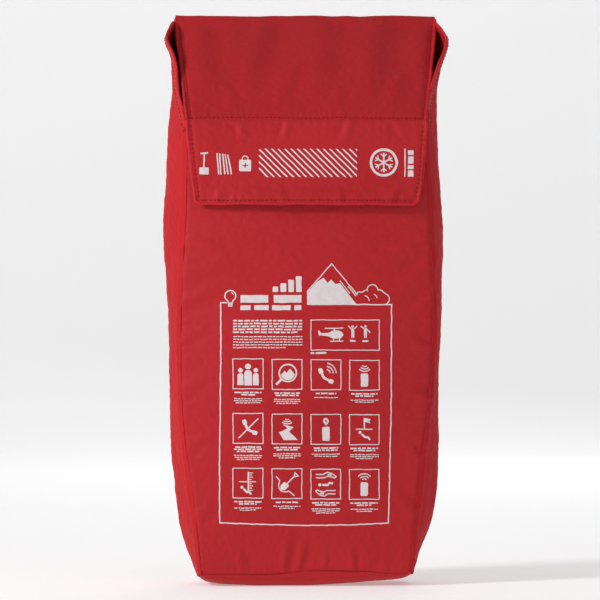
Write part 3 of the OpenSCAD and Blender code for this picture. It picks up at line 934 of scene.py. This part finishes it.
flap_left = curve([(0, -114.4), (46, -111.5), (81, -108.8), (110, -106.8), (126, -105.5)])
flap_right = curve([(0, 118.6), (46, 114.4), (81, 110.2), (110, 106.5), (126, 104.6)])
band_left = curve([(331, -98.2), (355, -100.8), (386, -104.2), (405, -105.5)])
band_right = curve([(331, 97.5), (355, 101.3), (386, 103.6), (405, 104.6)])
PIPE_R = 1.4
EDGE_STITCH = 4.4
DOWN = np.array([0, -math.sin(SLOPE), -math.cos(SLOPE)])
OUT = np.array([0, -math.cos(SLOPE), math.sin(SLOPE)])
HINGE = np.array([0, HINGE_Y, HINGE_Z])
FOLD_R = ROLL_R + 0.4
# The fold passes from the pouch to the flap between these two points round the hinge; a piece given these is
# only baked in place, not attached to a body
FOLD_BLEND = ("pouch", "flap", (0, (HINGE_Y + 3.5) * MM, (HINGE_Z - 1) * MM),
              (0, (HINGE_Y - 2) * MM, (HINGE_Z + 2) * MM))
# The band's cloth passes from the flap to the band over its first few millimetres below the sewn line; a
# piece given these is only baked in place, not attached to a body
BAND_BLEND = ("flap", "flap_band", (0, STITCH_Y * MM, (STITCH_Z - 0.3) * MM),
              (0, STITCH_Y * MM, (STITCH_Z - 7) * MM))
FLAP_SWELL = 3.2
# The flap's outer face, out from the hinge's plane
FLAP_FACE = 1.4
# The steps of the flap's settled cloth, down from the fold
FLAP_STEPS = 90
BAND_TOP = STITCH_Z + 0.5


def on_flap(x, s, lift):
    """A point of the flap: across, down from the hinge, and out from the hinge's plane."""
    x, s, lift = np.broadcast_arrays(x, s, lift)
    return HINGE + s[..., None] * DOWN + lift[..., None] * OUT + x[..., None] * np.array([1.0, 0, 0])


def flap_lift(u, s):
    """The outer face's distance from the hinge's plane: the fold, and a soft swell below it."""
    swell = FLAP_SWELL * np.sin(math.pi * np.clip(s / FLAP_LENGTH, 0, 1)) ** 0.8
    return FLAP_FACE + (FOLD_R - FLAP_FACE) * np.exp(-(s / 9) ** 2) + swell * (1 - np.abs(2 * u - 1) ** 3)


def flap_x(s, u):
    return mix(flap_left(s) + PIPE_R, flap_right(s) - PIPE_R, u)


def band_x(z, u):
    return mix(band_left(z) + PIPE_R, band_right(z) - PIPE_R, u)


def band_v(z):
    return (z - BAND_LOW - PIPE_R) / (BAND_TOP - BAND_LOW - PIPE_R)


def band_curl(u, z):
    """How far the band's lower edge stands out from the front."""
    return 2.6 * ease((BAND_LOW + 20 - z) / 20) * (1 - np.abs(2 * u - 1) ** 4)


# Broad folds down the flap: from and to (across, down from the fold), width and height
FLAP_FOLDS = [
    ((-96, 6), (-88, 112), 11, 1.5), ((-34, 2), (-58, 108), 10, 1.3), ((14, 4), (6, 112), 13, 1.1),
    ((66, 2), (50, 106), 11, 1.4), ((104, 8), (96, 112), 9, 1.1), ((-8, 60), (-30, 116), 7, 0.8),
    ((84, 70), (70, 118), 7, 0.8), ((-70, 84), (-64, 120), 5, 0.7), ((30, 90), (24, 120), 5, 0.6),
]


def make_flap():
    """The flap's outer cloth, from the sewn line (v = 0) over the fold and down the back (v = 1)."""
    nu, nv = 70, 38
    u, v = grid(nu, nv)
    s = mix(FLAP_LENGTH + 0.5, 0.6, v)
    x = flap_x(s, u)
    P = on_flap(x, s, flap_lift(u, s))
    P = crumple(P, (1.012, 1.008, 1.008), pressure=0.6, cap=2.2, pins=border_pins(nu, nv), seed=9)
    P = finer(finer(P, 170, 0), FLAP_STEPS, 1)
    u, v = grid(170, FLAP_STEPS)
    s = mix(FLAP_LENGTH + 0.5, 0.6, v)
    x = P[..., 0]
    rise = puckers(np.abs(FLAP_LENGTH - 1.6 - s), x, 81, height=0.45, reach=4.5, groove=0.5)
    for distance, seed in ((x - flap_left(s), 82), (flap_right(s) - x, 83)):
        rise = rise + puckers(np.abs(distance - EDGE_STITCH), s, seed, height=0.35, reach=4, groove=0.7)
    rise = with_folds(rise, x, s, FLAP_FOLDS)
    rise = (rise + 0.3 * noise(x, s, 30, 26, 84)) * ease(s / 12)
    P = raised(P, rise)
    angles = np.linspace(math.pi / 2 + (math.pi / 2 - SLOPE), 0, 13)[1:]
    arc_x = P[:, -1, 0]
    uneven = 0.8 * wander(arc_x, 42, 85) + 0.4 * wander(arc_x, 13, 86)
    arc = []
    for a in angles:
        r = FOLD_R + uneven * math.sin(a) ** 2
        arc.append(stack(arc_x, HINGE_Y + r * math.cos(a), HINGE_Z + r * math.sin(a)))
    tail = [stack(arc_x, HINGE_Y + FOLD_R + 0.1, HINGE_Z - d) for d in (2, 5, 9, 13)]
    return np.concatenate([P, np.stack(arc + tail, axis=1)], axis=1)


def band_depth(x, z):
    """The band's outer face: straight along the sewn line, then lying over the closure on the front."""
    resting = np.minimum(front_depth(x, z), SEAM_Y - 3) - 6.2
    line = STITCH_Y - FLAP_FACE
    return np.minimum(resting, mix(line, resting, ease((STITCH_Z - z) / 60)))


# Small folds of the band: from, to, width and height
BAND_FOLDS = [
    ((-60, 403), (-54, 388), 3, 0.8), ((-16, 403), (-22, 386), 3, 0.9), ((38, 403), (30, 384), 3.5, 1.0),
    ((78, 403), (84, 390), 3, 0.8), ((92, 350), (60, 342), 4, 1.0), ((70, 334), (82, 352), 3.5, 0.9),
    ((-80, 334), (-72, 348), 3.5, 0.8), ((-20, 334), (-26, 346), 3.5, 0.7), ((26, 334), (30, 346), 3.5, 0.8),
]


def make_band():
    nu, nv = 70, 24
    u, v = grid(nu, nv)
    z = mix(BAND_LOW + PIPE_R, BAND_TOP, v)
    x = band_x(z, u)
    curl = band_curl(u, z)
    P = stack(x, band_depth(x, z) - curl - 0.8 * np.sin(math.pi * v), z)
    P = crumple(P, (1.014, 1, 1.012), pressure=0.8, cap=1.6, pins=border_pins(nu, nv), seed=10)
    P = finer(finer(P, 170, 0), 60, 1)
    x, z = P[..., 0], P[..., 2]
    rise = puckers(np.maximum(STITCH_Z - z, 0), x, 91, height=0.5, reach=4.5, groove=0.3)
    low = np.abs(z - BAND_LOW - EDGE_STITCH)
    rise = rise + puckers(low, x, 92, height=0.4, reach=4, groove=0.6)
    for distance, seed in ((x - band_left(z), 93), (band_right(z) - x, 94)):
        rise = rise + puckers(np.abs(distance - EDGE_STITCH), z, seed, height=0.35, reach=4, groove=0.7)
    rise = rise + 0.3 * noise(x, z, 26, 20, 95)
    rise = with_folds(rise, x, z, BAND_FOLDS)
    return raised(P, rise)


flap = make_flap()
band = make_band()

piece = sheet_object("flap_cloth", flap, 0.9, M["red"])
cloth(piece, None, ["flap_panel"], (234, 148), area=32500, blend=FOLD_BLEND)
piece = sheet_object("band_cloth", band, 0.9, M["red"])
cloth(piece, None, ["band_panel"], (212, 76), blend=BAND_BLEND)

# Linings: plain sheets just inside the outer cloth
u, v = grid(60, 40)
s = mix(FLAP_LENGTH - 0.4, 4.5, v)
swell = flap_lift(u, s) - FLAP_FACE
x = flap_x(s, u)
waves = 0.35 * noise(x, s, 30, 30, 85) * ease((1 - np.abs(2 * u - 1)) * 4)
lining = on_flap(x, s, 0.7 * swell * ease(s / 10) - 0.3 + waves)
piece = sheet_object("flap_lining_cloth", lining, 0.8, M["inner"])
cloth(piece, "flap", ["flap_lining"], (230, 121), area=26800)
u, v = grid(60, 30)
z = mix(BAND_LOW + PIPE_R, STITCH_Z - 0.4, v)
x = band_x(z, u)
curl = band_curl(u, z)
band_inner = stack(x, band_depth(x, z) - curl + 1.6, z)
piece = sheet_object("band_lining_cloth", band_inner, 0.8, M["inner"])
cloth(piece, None, ["band_lining"], (209, 73), blend=BAND_BLEND)

# The seam that joins the flap to the back lies rolled inside the fold
x = np.linspace(-113.4, 116.4, 120)
path = stack(x, HINGE_Y, HINGE_Z - 0.2 + 0.12 * wander(x, 18, 97))
radius = 2.5 + 0.12 * wander(x, 7, 98)
piece = tube_object("top_seam", path, radius, M["edge"], sides=12)
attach(piece, "pouch")
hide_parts("top_seam_roll")

# Rolled edges
s = np.linspace(2.5, FLAP_LENGTH, 90)
for word, edge_at, turn in (("left", flap_left, 1), ("right", flap_right, -1)):
    wobble = 0.25 * wander(s, 7, 101 + turn)
    path = on_flap(edge_at(s) + turn * PIPE_R + wobble, s, flap_lift(np.zeros_like(s), s) - 0.9)
    radius = PIPE_R * (1 + 0.1 * np.sin(s / 4.0 * 2 * math.pi) * 0.6 + 0.08 * wander(s, 5, 103))
    piece = tube_object(f"{word}_flap_edge", path, radius, M["edge"], sides=10)
    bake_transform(piece)
    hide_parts(f"{word}_flap_piping")

z = np.linspace(STITCH_Z, BAND_LOW + PIPE_R + 3, 50)
low_u = np.linspace(0, 1, 140)[1:-1]
corner_x = (band_left(BAND_LOW) + PIPE_R, band_right(BAND_LOW) - PIPE_R)
xs = np.concatenate([band_left(z) + PIPE_R, mix(corner_x[0] + 2.5, corner_x[1] - 2.5, low_u),
                     (band_right(z) - PIPE_R)[::-1]])
zs = np.concatenate([z, np.full(len(low_u), BAND_LOW + PIPE_R), z[::-1]])
share = np.clip((xs - corner_x[0]) / (corner_x[1] - corner_x[0]), 0, 1)
curl = band_curl(share, zs)
path = stack(xs, band_depth(xs, zs) - curl + 0.9, zs)
along = arc_length(path)
path[:, 2] += 0.5 * wander(along, 16, 105) * ease((BAND_LOW + 8 - zs) / 4)
radius = PIPE_R * (1 + 0.09 * np.sin(along / 4.0 * 2 * math.pi) + 0.1 * wander(along, 6, 106))
piece = tube_object("band_edge", path, radius, M["edge"], sides=10)
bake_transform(piece)
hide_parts("band_piping")

# Stitching


def side_rows(P, left, right, v):
    """A row of stitches inside each side of a sheet whose cloth reaches from left to right."""
    inset = EDGE_STITCH - PIPE_R
    return [row_on(P, (at - left) / (right - left), v, 0.1) for at in (left + inset, right - inset)]


share = np.linspace(0.004, 0.93, 130)
s = mix(FLAP_LENGTH - 0.4, 0.6, share)
v = share * FLAP_STEPS / (flap.shape[1] - 1)
rows = side_rows(flap, flap_left(s) + PIPE_R, flap_right(s) - PIPE_R, v)
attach(stitch_rows("flap_edge_stitches", rows), "flap")

z = np.linspace(STITCH_Z - 4, BAND_LOW + EDGE_STITCH, 60)
rows = side_rows(band, band_left(z) + PIPE_R, band_right(z) - PIPE_R, band_v(z))
low_u = np.linspace(0.018, 0.982, 200)
rows.append(row_on(band, low_u, np.full_like(low_u, band_v(BAND_LOW + EDGE_STITCH)), 0.1))
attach(stitch_rows("band_edge_stitches", rows), "flap_band")

cross_u = np.linspace(0.012, 0.988, 220)
cross_v = np.full_like(cross_u, 2.1 / FLAP_LENGTH * FLAP_STEPS / (flap.shape[1] - 1))
rows = [row_on(flap, cross_u, cross_v, 0.12)]
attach(stitch_rows("cross_stitches", rows), "flap")


# ---------------------------------------------------------------- closure


def closure_sheet(x0, x1, z0, z1, depth_at):
    u, v = grid(90, 30)
    x, z = mix(x0, x1, u), mix(z0, z1, v)
    return stack(x, depth_at(x, z), z)


(x0, _, z0), (x1, _, z1) = node_box("loop_panel")
z0 += 7
loop = closure_sheet(x0, x1, z0, z1, lambda x, z: front_depth(x, z) - 1.7 + 0.15 * noise(x, z, 6, 6, 111))
piece = sheet_object("loop_face", loop, 1.2, M["loop"])
cloth(piece, "pouch", ["loop_panel"], (x1 - x0, z1 - z0), held="laid")
(x0, _, z0), (x1, _, z1) = node_box("hook_panel")
hook = closure_sheet(x0 + 6, x1 - 6, z0 + 4, z1, lambda x, z: band_depth(x, z) + 2.6)
piece = sheet_object("hook_face", hook, 1.1, M["hook"])
cloth(piece, "flap_band", ["hook_panel"], (x1 - x0 - 12, z1 - z0 - 4), held="laid")


# ---------------------------------------------------------------- screen prints

INK_T = 0.12
INK_LIFT = 0.15
PRINT_STEP = 3.0
LINE_W = 0.75


def turned_by(points, degrees, scale=1.0, shift=(0, 0)):
    """Flat points turned about the origin, scaled and moved."""
    a = math.radians(degrees)
    c, s = math.cos(a) * scale, math.sin(a) * scale
    return [(x * c - z * s + shift[0], x * s + z * c + shift[1]) for x, z in points]


def arc_points(x, z, r, a0, a1, n=10):
    angles = [math.radians(a) for a in np.linspace(a0, a1, n)]
    return [(x + r * math.cos(a), z + r * math.sin(a)) for a in angles]


def round_box(x0, x1, z0, z1, r):
    corners = ((x1 - r, z1 - r, 0), (x0 + r, z1 - r, 90), (x0 + r, z0 + r, 180), (x1 - r, z0 + r, 270))
    return [p for x, z, a in corners for p in arc_points(x, z, r, a, a + 90, 5)]


def swept(points, width, closed=False):
    """The two edges of a line of that width, with mitred corners."""
    P = np.array(points, float)
    ahead = unit((np.roll(P, -1, axis=0) - P) if closed else np.diff(P, axis=0))
    if closed:
        before, after = np.roll(ahead, 1, axis=0), ahead
    else:
        before, after = np.concatenate([ahead[:1], ahead]), np.concatenate([ahead, ahead[-1:]])
    normal = unit(np.stack([-(before + after)[:, 1], (before + after)[:, 0]], axis=1))
    square = np.stack([-after[:, 1], after[:, 0]], axis=1)
    mitre = normal * (width / 2 / np.maximum((normal * square).sum(1), 0.45))[:, None]
    return P + mitre, P - mitre


class Print:
    """Flat printed shapes, drawn across and up in mm, each with its own place."""

    def __init__(self):
        self.points, self.faces = [], []
        self.x = self.z = 0.0

    def at(self, x, z):
        self.x, self.z = x, z
        return self

    def put(self, points, faces):
        first = len(self.points)
        self.points += [(x + self.x, z + self.z) for x, z in points]
        self.faces += [[first + i for i in face] for face in faces]

    def shape(self, outline, *holes):
        loops = [[Vector((x, z, 0)) for x, z in loop] for loop in (outline, *holes)]
        self.put([p for loop in (outline, *holes) for p in loop], tessellate_polygon(loops))

    def line(self, points, width=LINE_W, closed=False):
        a, b = swept(points, width, closed)
        n = len(a)
        pairs = [(k, (k + 1) % n) for k in range(n if closed else n - 1)]
        self.put([*a.tolist(), *b.tolist()], [[i, j, j + n, i + n] for i, j in pairs])

    def disc(self, x, z, r):
        self.shape(arc_points(x, z, r, 0, 345, 24))

    def box(self, x0, x1, z0, z1):
        self.shape([(x0, z0), (x1, z0), (x1, z1), (x0, z1)])

    def words(self, x0, x1, z0, z1, draw):
        """One line of plain bars of word-like lengths."""
        gap, x = (z1 - z0) * 0.75, x0
        while x < x1 - gap:
            end = min(x + (z1 - z0) * draw.uniform(1.8, 5.0), x1)
            if x1 - end < 2 * gap:
                end = x1
            self.box(x, end, z0, z1)
            x = end + gap


def person(p, x, z, size, lean=0.0):
    """A plain figure seen from the front: head and rounded shoulders."""
    p.disc(x, z + 7.6 * size, 2.3 * size)
    w, r = 2.9 * size, 2.2 * size
    high = z + 4.6 * size - r
    top = arc_points(x + w - r, high, r, 0, 90, 6) + arc_points(x - w + r, high, r, 90, 180, 6)
    p.shape(top + [(x - w, z - 7 * size), (x + w, z - 7 * size)])


def lying(p, degrees, x, z, size=1.0):
    """A plain figure lying down: head, body and bent legs."""
    head, = turned_by([(-5.2, 0)], degrees, size, (x, z))
    p.disc(*head, 1.35 * size)
    p.line(turned_by([(-3.2, -0.3), (1.2, -0.6), (2.8, 0.9), (5.6, 0.2)], degrees, size, (x, z)), 1.7 * size)


def waves(p, x, z, radii, a0, a1, width=0.9):
    for r in radii:
        p.line(arc_points(x, z, r, a0, a1, 12), width)


def handset(p, x, z, degrees):
    """A telephone handset: a bowed grip between two round ends."""
    grip = arc_points(0, 7.5, 8.4, 222, 318, 12) + arc_points(0, 9.5, 8.2, 308, 232, 12)
    p.shape(turned_by(grip, degrees, 1, (x, z)))
    for side in (-1, 1):
        p.shape(turned_by(round_box(-2.3, 2.3, -1.7, 1.9, 1.2), degrees + side * 28, 1,
                          turned_by([(side * 6.4, 2.1)], degrees, 1, (x, z))[0]))


def beacon(p, z0, z1, half=3.3):
    p.shape(round_box(-half, half, z0, z1, 1.3))


def icon_team(p):
    person(p, 0, -2.2, 1.12)
    for side in (-1, 1):
        person(p, side * 6.6, -3.6, 0.88)


def icon_look(p):
    p.line(arc_points(0.6, 1.2, 7.4, 0, 345, 24), 1.3, closed=True)
    p.shape([(-5.4, -0.6), (-2.2, 3.2), (-0.4, 1.5), (2.6, 5.0), (6.6, -0.4)]
            + arc_points(0.6, 1.2, 6.2, -18, -162, 12))
    p.line([(-4.6, -4.2), (-9.6, -9.0)], 2.0)


def icon_call(p):
    handset(p, -1.6, -2.6, -45)
    waves(p, 0.0, 1.2, (3.6, 6.2, 8.8), 2, 82)


def icon_search(p):
    beacon(p, -10, 1.8)
    waves(p, 0, 10.5, (3.0, 5.0, 7.0), 228, 312)


def icon_silent(p):
    handset(p, 0, -0.8, -45)
    p.line([(-8.2, -8.6), (9.0, 8.8)], 1.1)


def icon_path(p):
    p.shape([(-3.6, 3.8), (5.8, 1.6), (2.0, -2.2), (9.4, -9.6), (-2.8, -9.6), (-7.2, -3.0), (0.6, 0.4)])
    waves(p, 0, 10.4, (2.6, 4.4, 6.2), 228, 312)


def icon_pin(p):
    beacon(p, -10, 2.2)
    p.shape([*arc_points(0, 7.2, 2.6, -28, 208, 14), (0, 3.2)], arc_points(0, 7.2, 0.95, 0, 330, 12))


def icon_flag(p):
    p.line([(0, 0.4), (0, 10.2)], 1.1)
    p.shape([(0.5, 10.2), (5.4, 9.4), (4.2, 7.6), (5.4, 5.8), (0.5, 6.6)])
    p.line([(-7.4, 0.4), (7.2, 0.4)], 0.9)
    lying(p, -38, 0.4, -5.6)


def icon_probe(p):
    p.line([(0.4, -7.2), (0.4, 9.6)], 1.2)
    for k in range(9):
        p.box(1.0, 3.4 if k % 2 else 4.4, 8.6 - 1.9 * k, 9.3 - 1.9 * k)
    p.line([(-7.6, 1.2), (7.0, 1.2)], 0.9)
    lying(p, -38, -1.4, -6.6, 0.95)


def icon_dig(p):
    blade = [(-2.7, 2.2), (-2.9, -2.6), (0, -5.2), (2.9, -2.6), (2.7, 2.2), (0, 3.2)]
    p.shape(turned_by(blade, -45, 1, (-1.8, -1.8)))
    p.line([(0.2, 0.2), (6.4, 6.4)], 1.1)
    p.line(turned_by([(-2.1, 9.6), (2.1, 9.6), (0, 6.6)], -45, 1, (1.4, 1.4)), 0.9, closed=True)
    p.line([(-9.6, 6.6), (-6.2, 2.6)] + arc_points(-1.6, -1.6, 5.6, 150, 300, 10)
           + [(2.6, -7.4), (6.4, -10.6)], 0.9)


def icon_care(p):
    for flip in (1, -1):
        palm = [(-8.6, 8.4), (-2.4, 8.4), (1.2, 10.4), (5.0, 9.4), (9.0, 6.2)]
        fingers = [(-8.6, 5.6), (-1.0, 5.6), (1.6, 6.9), (5.2, 6.2), (7.2, 5.2), (9.0, 6.2)]
        for part in (palm, fingers):
            p.line([(flip * x, flip * z) for x, z in part], 0.95)
        p.line([(flip * 1.6, flip * 8.3), (flip * 4.8, flip * 7.9)], 1.5)
    lying(p, 6, 0.4, -0.2, 1.08)


def icon_send(p):
    beacon(p, -10, 1.8)
    waves(p, 0, 2.0, (2.8, 5.0, 7.2), 42, 138)


ICONS = [icon_team, icon_look, icon_call, icon_search,
         icon_silent, icon_path, icon_pin, icon_flag,
         icon_probe, icon_dig, icon_care, icon_send]
TILE_X = [-51.3, -17.6, 16.1, 49.6]
TILE_Z = [185.1, 137.9, 90.4]
TILE_HALF = 12.95
# Lines in each caption: bold ones and thin ones
CAPTIONS = [(2, 3), (2, 3), (1, 1), (2, 2), (3, 3), (2, 3), (2, 2), (2, 3), (2, 2), (1, 2), (2, 3), (2, 2)]


def print_tiles():
    p = Print()
    draw = np.random.default_rng(7)
    for k, icon in enumerate(ICONS):
        x, z = TILE_X[k % 4], TILE_Z[k // 4] - 0.013 * (TILE_X[k % 4] + 51)
        p.at(x, z)
        h = TILE_HALF
        p.line([(-h, -h), (h, -h), (h, h), (-h, h)], closed=True)
        icon(p)
        top = -h - 2.6
        bold, thin = CAPTIONS[k]
        for lines, high, gap, reach in ((bold, 1.25, 0.65, 12.2), (thin, 0.8, 0.95, 12.8)):
            for row in range(lines):
                half = reach * (draw.uniform(0.86, 1.0) if row < lines - 1 else draw.uniform(0.5, 0.85))
                p.words(-half, half, top - high, top, draw)
                top -= high + gap
            top -= 1.8
    return p


def print_frame():
    p = Print()
    edge = [(-0.4, 245.2), (73.3, 245), (73, 150), (71.4, 80), (70.9, 55.2), (40, 54), (0, 53.7), (-40, 54.6),
            (-75.6, 55.9), (-75.9, 120), (-74.8, 200), (-74.9, 246.6), (-69.4, 246.6)]
    p.line(edge, 1.05)
    # Lamp: a round bulb, its neck and its cap
    p.at(-66.7, 252.6)
    p.line(arc_points(0, 0, 4.7, -62, 242, 22) + [(-1.5, -6.2), (1.5, -6.2)], 1.0, closed=True)
    p.line(arc_points(0, 0, 3.0, 20, 70, 6), 0.8)
    for z in (-7.4, -8.9):
        p.box(-2.1, 2.1, z - 0.5, z + 0.5)
    p.at(0, 0)
    # Two blocks of plain bars, five lines each
    draw = np.random.default_rng(11)
    for row in range(5):
        z = 230.6 - 2.5 * row
        p.words(-64.2, -4.4 if row < 4 else -8.5, z - 0.2, z + 1.15, draw)
        z = 216.9 - 2.35 * row
        p.words(-64.2, -4.4 if row < 4 else -19, z - 0.1, z + 0.75, draw)
    # Helicopter box with two signalling figures
    p.line([(3, 205.8), (62.5, 205.4), (62.5, 231.6), (3, 231.8)], closed=True)
    p.at(22, 219)
    p.shape([(9.2, -0.4), (8.0, 2.2), (5.0, 3.6), (1.6, 4.0), (-0.8, 3.4), (-3.6, 1.6), (-10.2, 1.4),
             (-11.6, 3.6), (-12.8, 3.4), (-12.2, -0.9), (-10.4, -0.4), (-3.6, -1.6), (0.4, -3.6),
              (6.4, -3.4)])
    p.line([(-7.0, 5.6), (9.4, 5.6)], 0.9)
    p.line([(1.2, 3.8), (1.2, 5.4)], 1.2)
    p.line([(-2.6, -5.6), (8.0, -5.6), (9.0, -5.0)], 0.85)
    for x in (0.6, 5.6):
        p.line([(x, -3.4), (x, -5.4)], 0.8)
    for x, arms in ((39.4, ((-4, 9.2), (4, 9.2))), (50.4, ((-4, 9.2), (4, 3.2)))):
        p.at(x, 216.2)
        p.disc(0, 9.8, 1.15)
        p.shape([(-1.3, 8.2), (1.3, 8.2), (1.2, 0), (0.2, 0), (0, 3.6), (-0.2, 0), (-1.2, 0)])
        for ax, az in arms:
            p.line([(0.9 if ax > 0 else -0.9, 7.6), (ax, az + 1.2)], 0.95)
        p.box(-2.4, 2.4, -3.4, -1.9)
    p.at(0, 0)
    p.words(2.7, 16.4, 202.4, 204, draw)
    return p


def print_heading():
    p = Print()
    for k in range(4):
        x = -30 + 6.7 * k
        p.shape(round_box(x, x + 4.9, 255.9, 260.4 + 3.1 * k, 0.7))
    draw = np.random.default_rng(16)
    p.words(-57.9, -5.1, 246.6, 253.2, draw)
    p.words(-57.9, -5.1, 240.2, 244.4, draw)
    return p


def print_mountain():
    p = Print()
    p.line([(0, 245.6), (0, 256.4), (21.2, 280.4), (43.4, 253.4)], 0.9)
    p.shape([(0.4, 245.6), (0.4, 256), (8.4, 264.6), (14.2, 268.2), (17.4, 263.8), (21.0, 266.8),
             (24.4, 262.6), (28.2, 263.4), (42.6, 245.6)])
    for k, (start, length) in enumerate(((0.15, 0.62), (0.4, 0.5))):
        x, z = 26.0 + 3.6 * k, 268.0 - 0.2 * k
        ends = (start, start + length)
        p.line([(x + 14 * t, z - 17 * t) for t in ends], 0.8)
    bumps = [(45.6, 252.8, 3.2, 168, 62), (51.0, 254.6, 3.0, 138, 60), (56.4, 258.0, 4.4, 172, 30),
             (62.8, 254.6, 3.2, 112, 34), (66.4, 249.8, 4.9, 68, -68)]
    p.line([q for bump in bumps for q in arc_points(*bump, 7)], 0.9)
    p.line(arc_points(48.4, 247.8, 5.2, 74, 4, 7), 0.8)
    p.line(arc_points(57.4, 250.6, 3.4, 84, 6, 6), 0.8)
    return p


def print_tools():
    p = Print()
    # Shovel: blade, shaft and grip
    p.at(-89.4, 0)
    p.shape(round_box(-4.2, 4.2, 357.6, 363.8, 1.0))
    p.line([(0, 363.6), (0, 375.4)], 1.1)
    p.line([(-3.0, 375.9), (3.4, 376.3)], 1.3)
    # Folded probe: leaning sections
    p.at(-71.6, 0)
    for x0, x1 in ((-6.2, -5.0), (-4.0, -3.2), (-1.6, 0.2), (0.6, 3.0), (3.0, 6.0)):
        p.line([(x0 - 0.2, 375.6 - 0.1 * x1), (x1, 357.8)], 1.15)
    # Kit bag: body with a cross let in, and a handle
    p.at(-53.8, 0)
    cross = [(-0.5, -2.3), (0.5, -2.3), (0.5, -0.5), (2.3, -0.5), (2.3, 0.5), (0.5, 0.5),
             (0.5, 2.3), (-0.5, 2.3), (-0.5, 0.5), (-2.3, 0.5), (-2.3, -0.5), (-0.5, -0.5)]
    p.shape(round_box(-5.2, 5.2, 360.4, 370.4, 1.3), [(x, z + 365.4) for x, z in cross])
    p.line([(-2.5, 370.6)] + arc_points(0, 371.2, 2.5, 180, 0, 9) + [(2.5, 370.6)], 0.85)
    return p


def print_hatch():
    """Parallel slanting lines, cut off square at the edges of their field."""
    p = Print()
    x0, x1, z0, z1, pitch, width = -42, 43, 355.4, 379.8, 5.6, 1.2
    high = z1 - z0
    half = width / math.sqrt(2)
    count = int((x1 - x0 + high) / pitch)
    for k in range(-3, count + 1):
        top = x0 + pitch * k
        lines = []
        for shift in (-half, half):
            start, end = max(top + shift, x0), min(top + shift + high, x1)
            if end > start:
                lines.append(((start, z1 - (start - top - shift)), (end, z1 - (end - top - shift))))
        if len(lines) == 2:
            (a, b), (c, d) = lines
            p.shape([a, b, d, c])
    return p


def print_emblem():
    """A plain ring round a six-armed flake, and a bar beside it."""
    p = Print().at(66.4, 368.2)
    p.line(arc_points(0, 0, 11.2, 0, 352, 40), 2.2, closed=True)
    for k in range(6):
        p.line(turned_by([(1.2, 0), (8.4, 0)], 60 * k + 30), 1.3)
        p.line(turned_by([(7.4, 2.6), (5.0, 0), (7.4, -2.6)], 60 * k + 30), 1.0)
    p.disc(0, 0, 1.5)
    p.at(0, 0)
    p.line([(84.9, 356), (84.9, 380.4)], 1.0)
    for k, high in enumerate((5.4, 3.4, 6.2, 4.2)):
        z = 356 + [0, 6.6, 11.2, 18.6][k]
        p.box(87.4, 92.2, z, z + high)
    return p


def on_front(x, z):
    across = (x - left_seam(z)) / (right_seam(z) - left_seam(z))
    foot = front_foot(mix(left_seam(FOOT_Z), right_seam(FOOT_Z), across))
    return across, (z - foot) / (MOUTH_Z - foot)


def on_band(x, z):
    left, right = band_left(z) + PIPE_R, band_right(z) - PIPE_R
    return (x - left) / (right - left), band_v(z)


def printed(name, p, P, place, node, body):
    """Lays a flat print on the sheet P as a thin film of ink."""
    flat = bmesh.new()
    corners = [flat.verts.new((x, 0, z)) for x, z in p.points]
    for face in p.faces:
        if len(set(face)) == len(face):
            flat.faces.new([corners[i] for i in face])
    bmesh.ops.remove_doubles(flat, verts=flat.verts, dist=0.01)
    for axis, normal in ((0, (1, 0, 0)), (2, (0, 0, 1))):
        low = min(v.co[axis] for v in flat.verts)
        high = max(v.co[axis] for v in flat.verts)
        for at in np.arange(low + PRINT_STEP, high, PRINT_STEP):
            geometry = flat.verts[:] + flat.edges[:] + flat.faces[:]
            cut = [0, 0, 0]
            cut[axis] = at
            bmesh.ops.bisect_plane(flat, geom=geometry, plane_co=cut, plane_no=normal)
    bmesh.ops.dissolve_degenerate(flat, edges=flat.edges, dist=0.003)
    flat.verts.index_update()
    places = np.array([v.co for v in flat.verts])
    faces = [[v.index for v in face.verts] for face in flat.faces]
    flat.free()
    u, v = place(places[:, 0], places[:, 2])
    out = unit(sample(normals(P), u, v))
    points = sample(P, u, v) + out * INK_LIFT
    # Every face looks outward
    turned_faces = []
    for face in faces:
        a, b, c = (places[i] for i in face[:3])
        turned_faces.append(face if np.cross(b - a, c - a)[1] < 0 else face[::-1])
    piece = mesh_object(name, points, turned_faces, M["ink"])
    piece.data.polygons.foreach_set("use_smooth", [False] * len(piece.data.polygons))
    film = piece.modifiers.new("film", "SOLIDIFY")
    film.thickness = INK_T * MM
    film.offset = -1
    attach(piece, body)
    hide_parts(node)


for node, drawing in (("print_frame", print_frame()), ("print_tiles", print_tiles()),
                      ("print_heading", print_heading()), ("print_mountain", print_mountain())):
    printed(node + "_ink", drawing, front, on_front, node, "pouch")
for node, drawing in (("print_tools", print_tools()), ("print_hatch", print_hatch()),
                      ("print_emblem", print_emblem())):
    printed(node + "_ink", drawing, band, on_band, node, "flap_band")


# ---------------------------------------------------------------- the picture

add_camera()
add_studio()
add_floor()
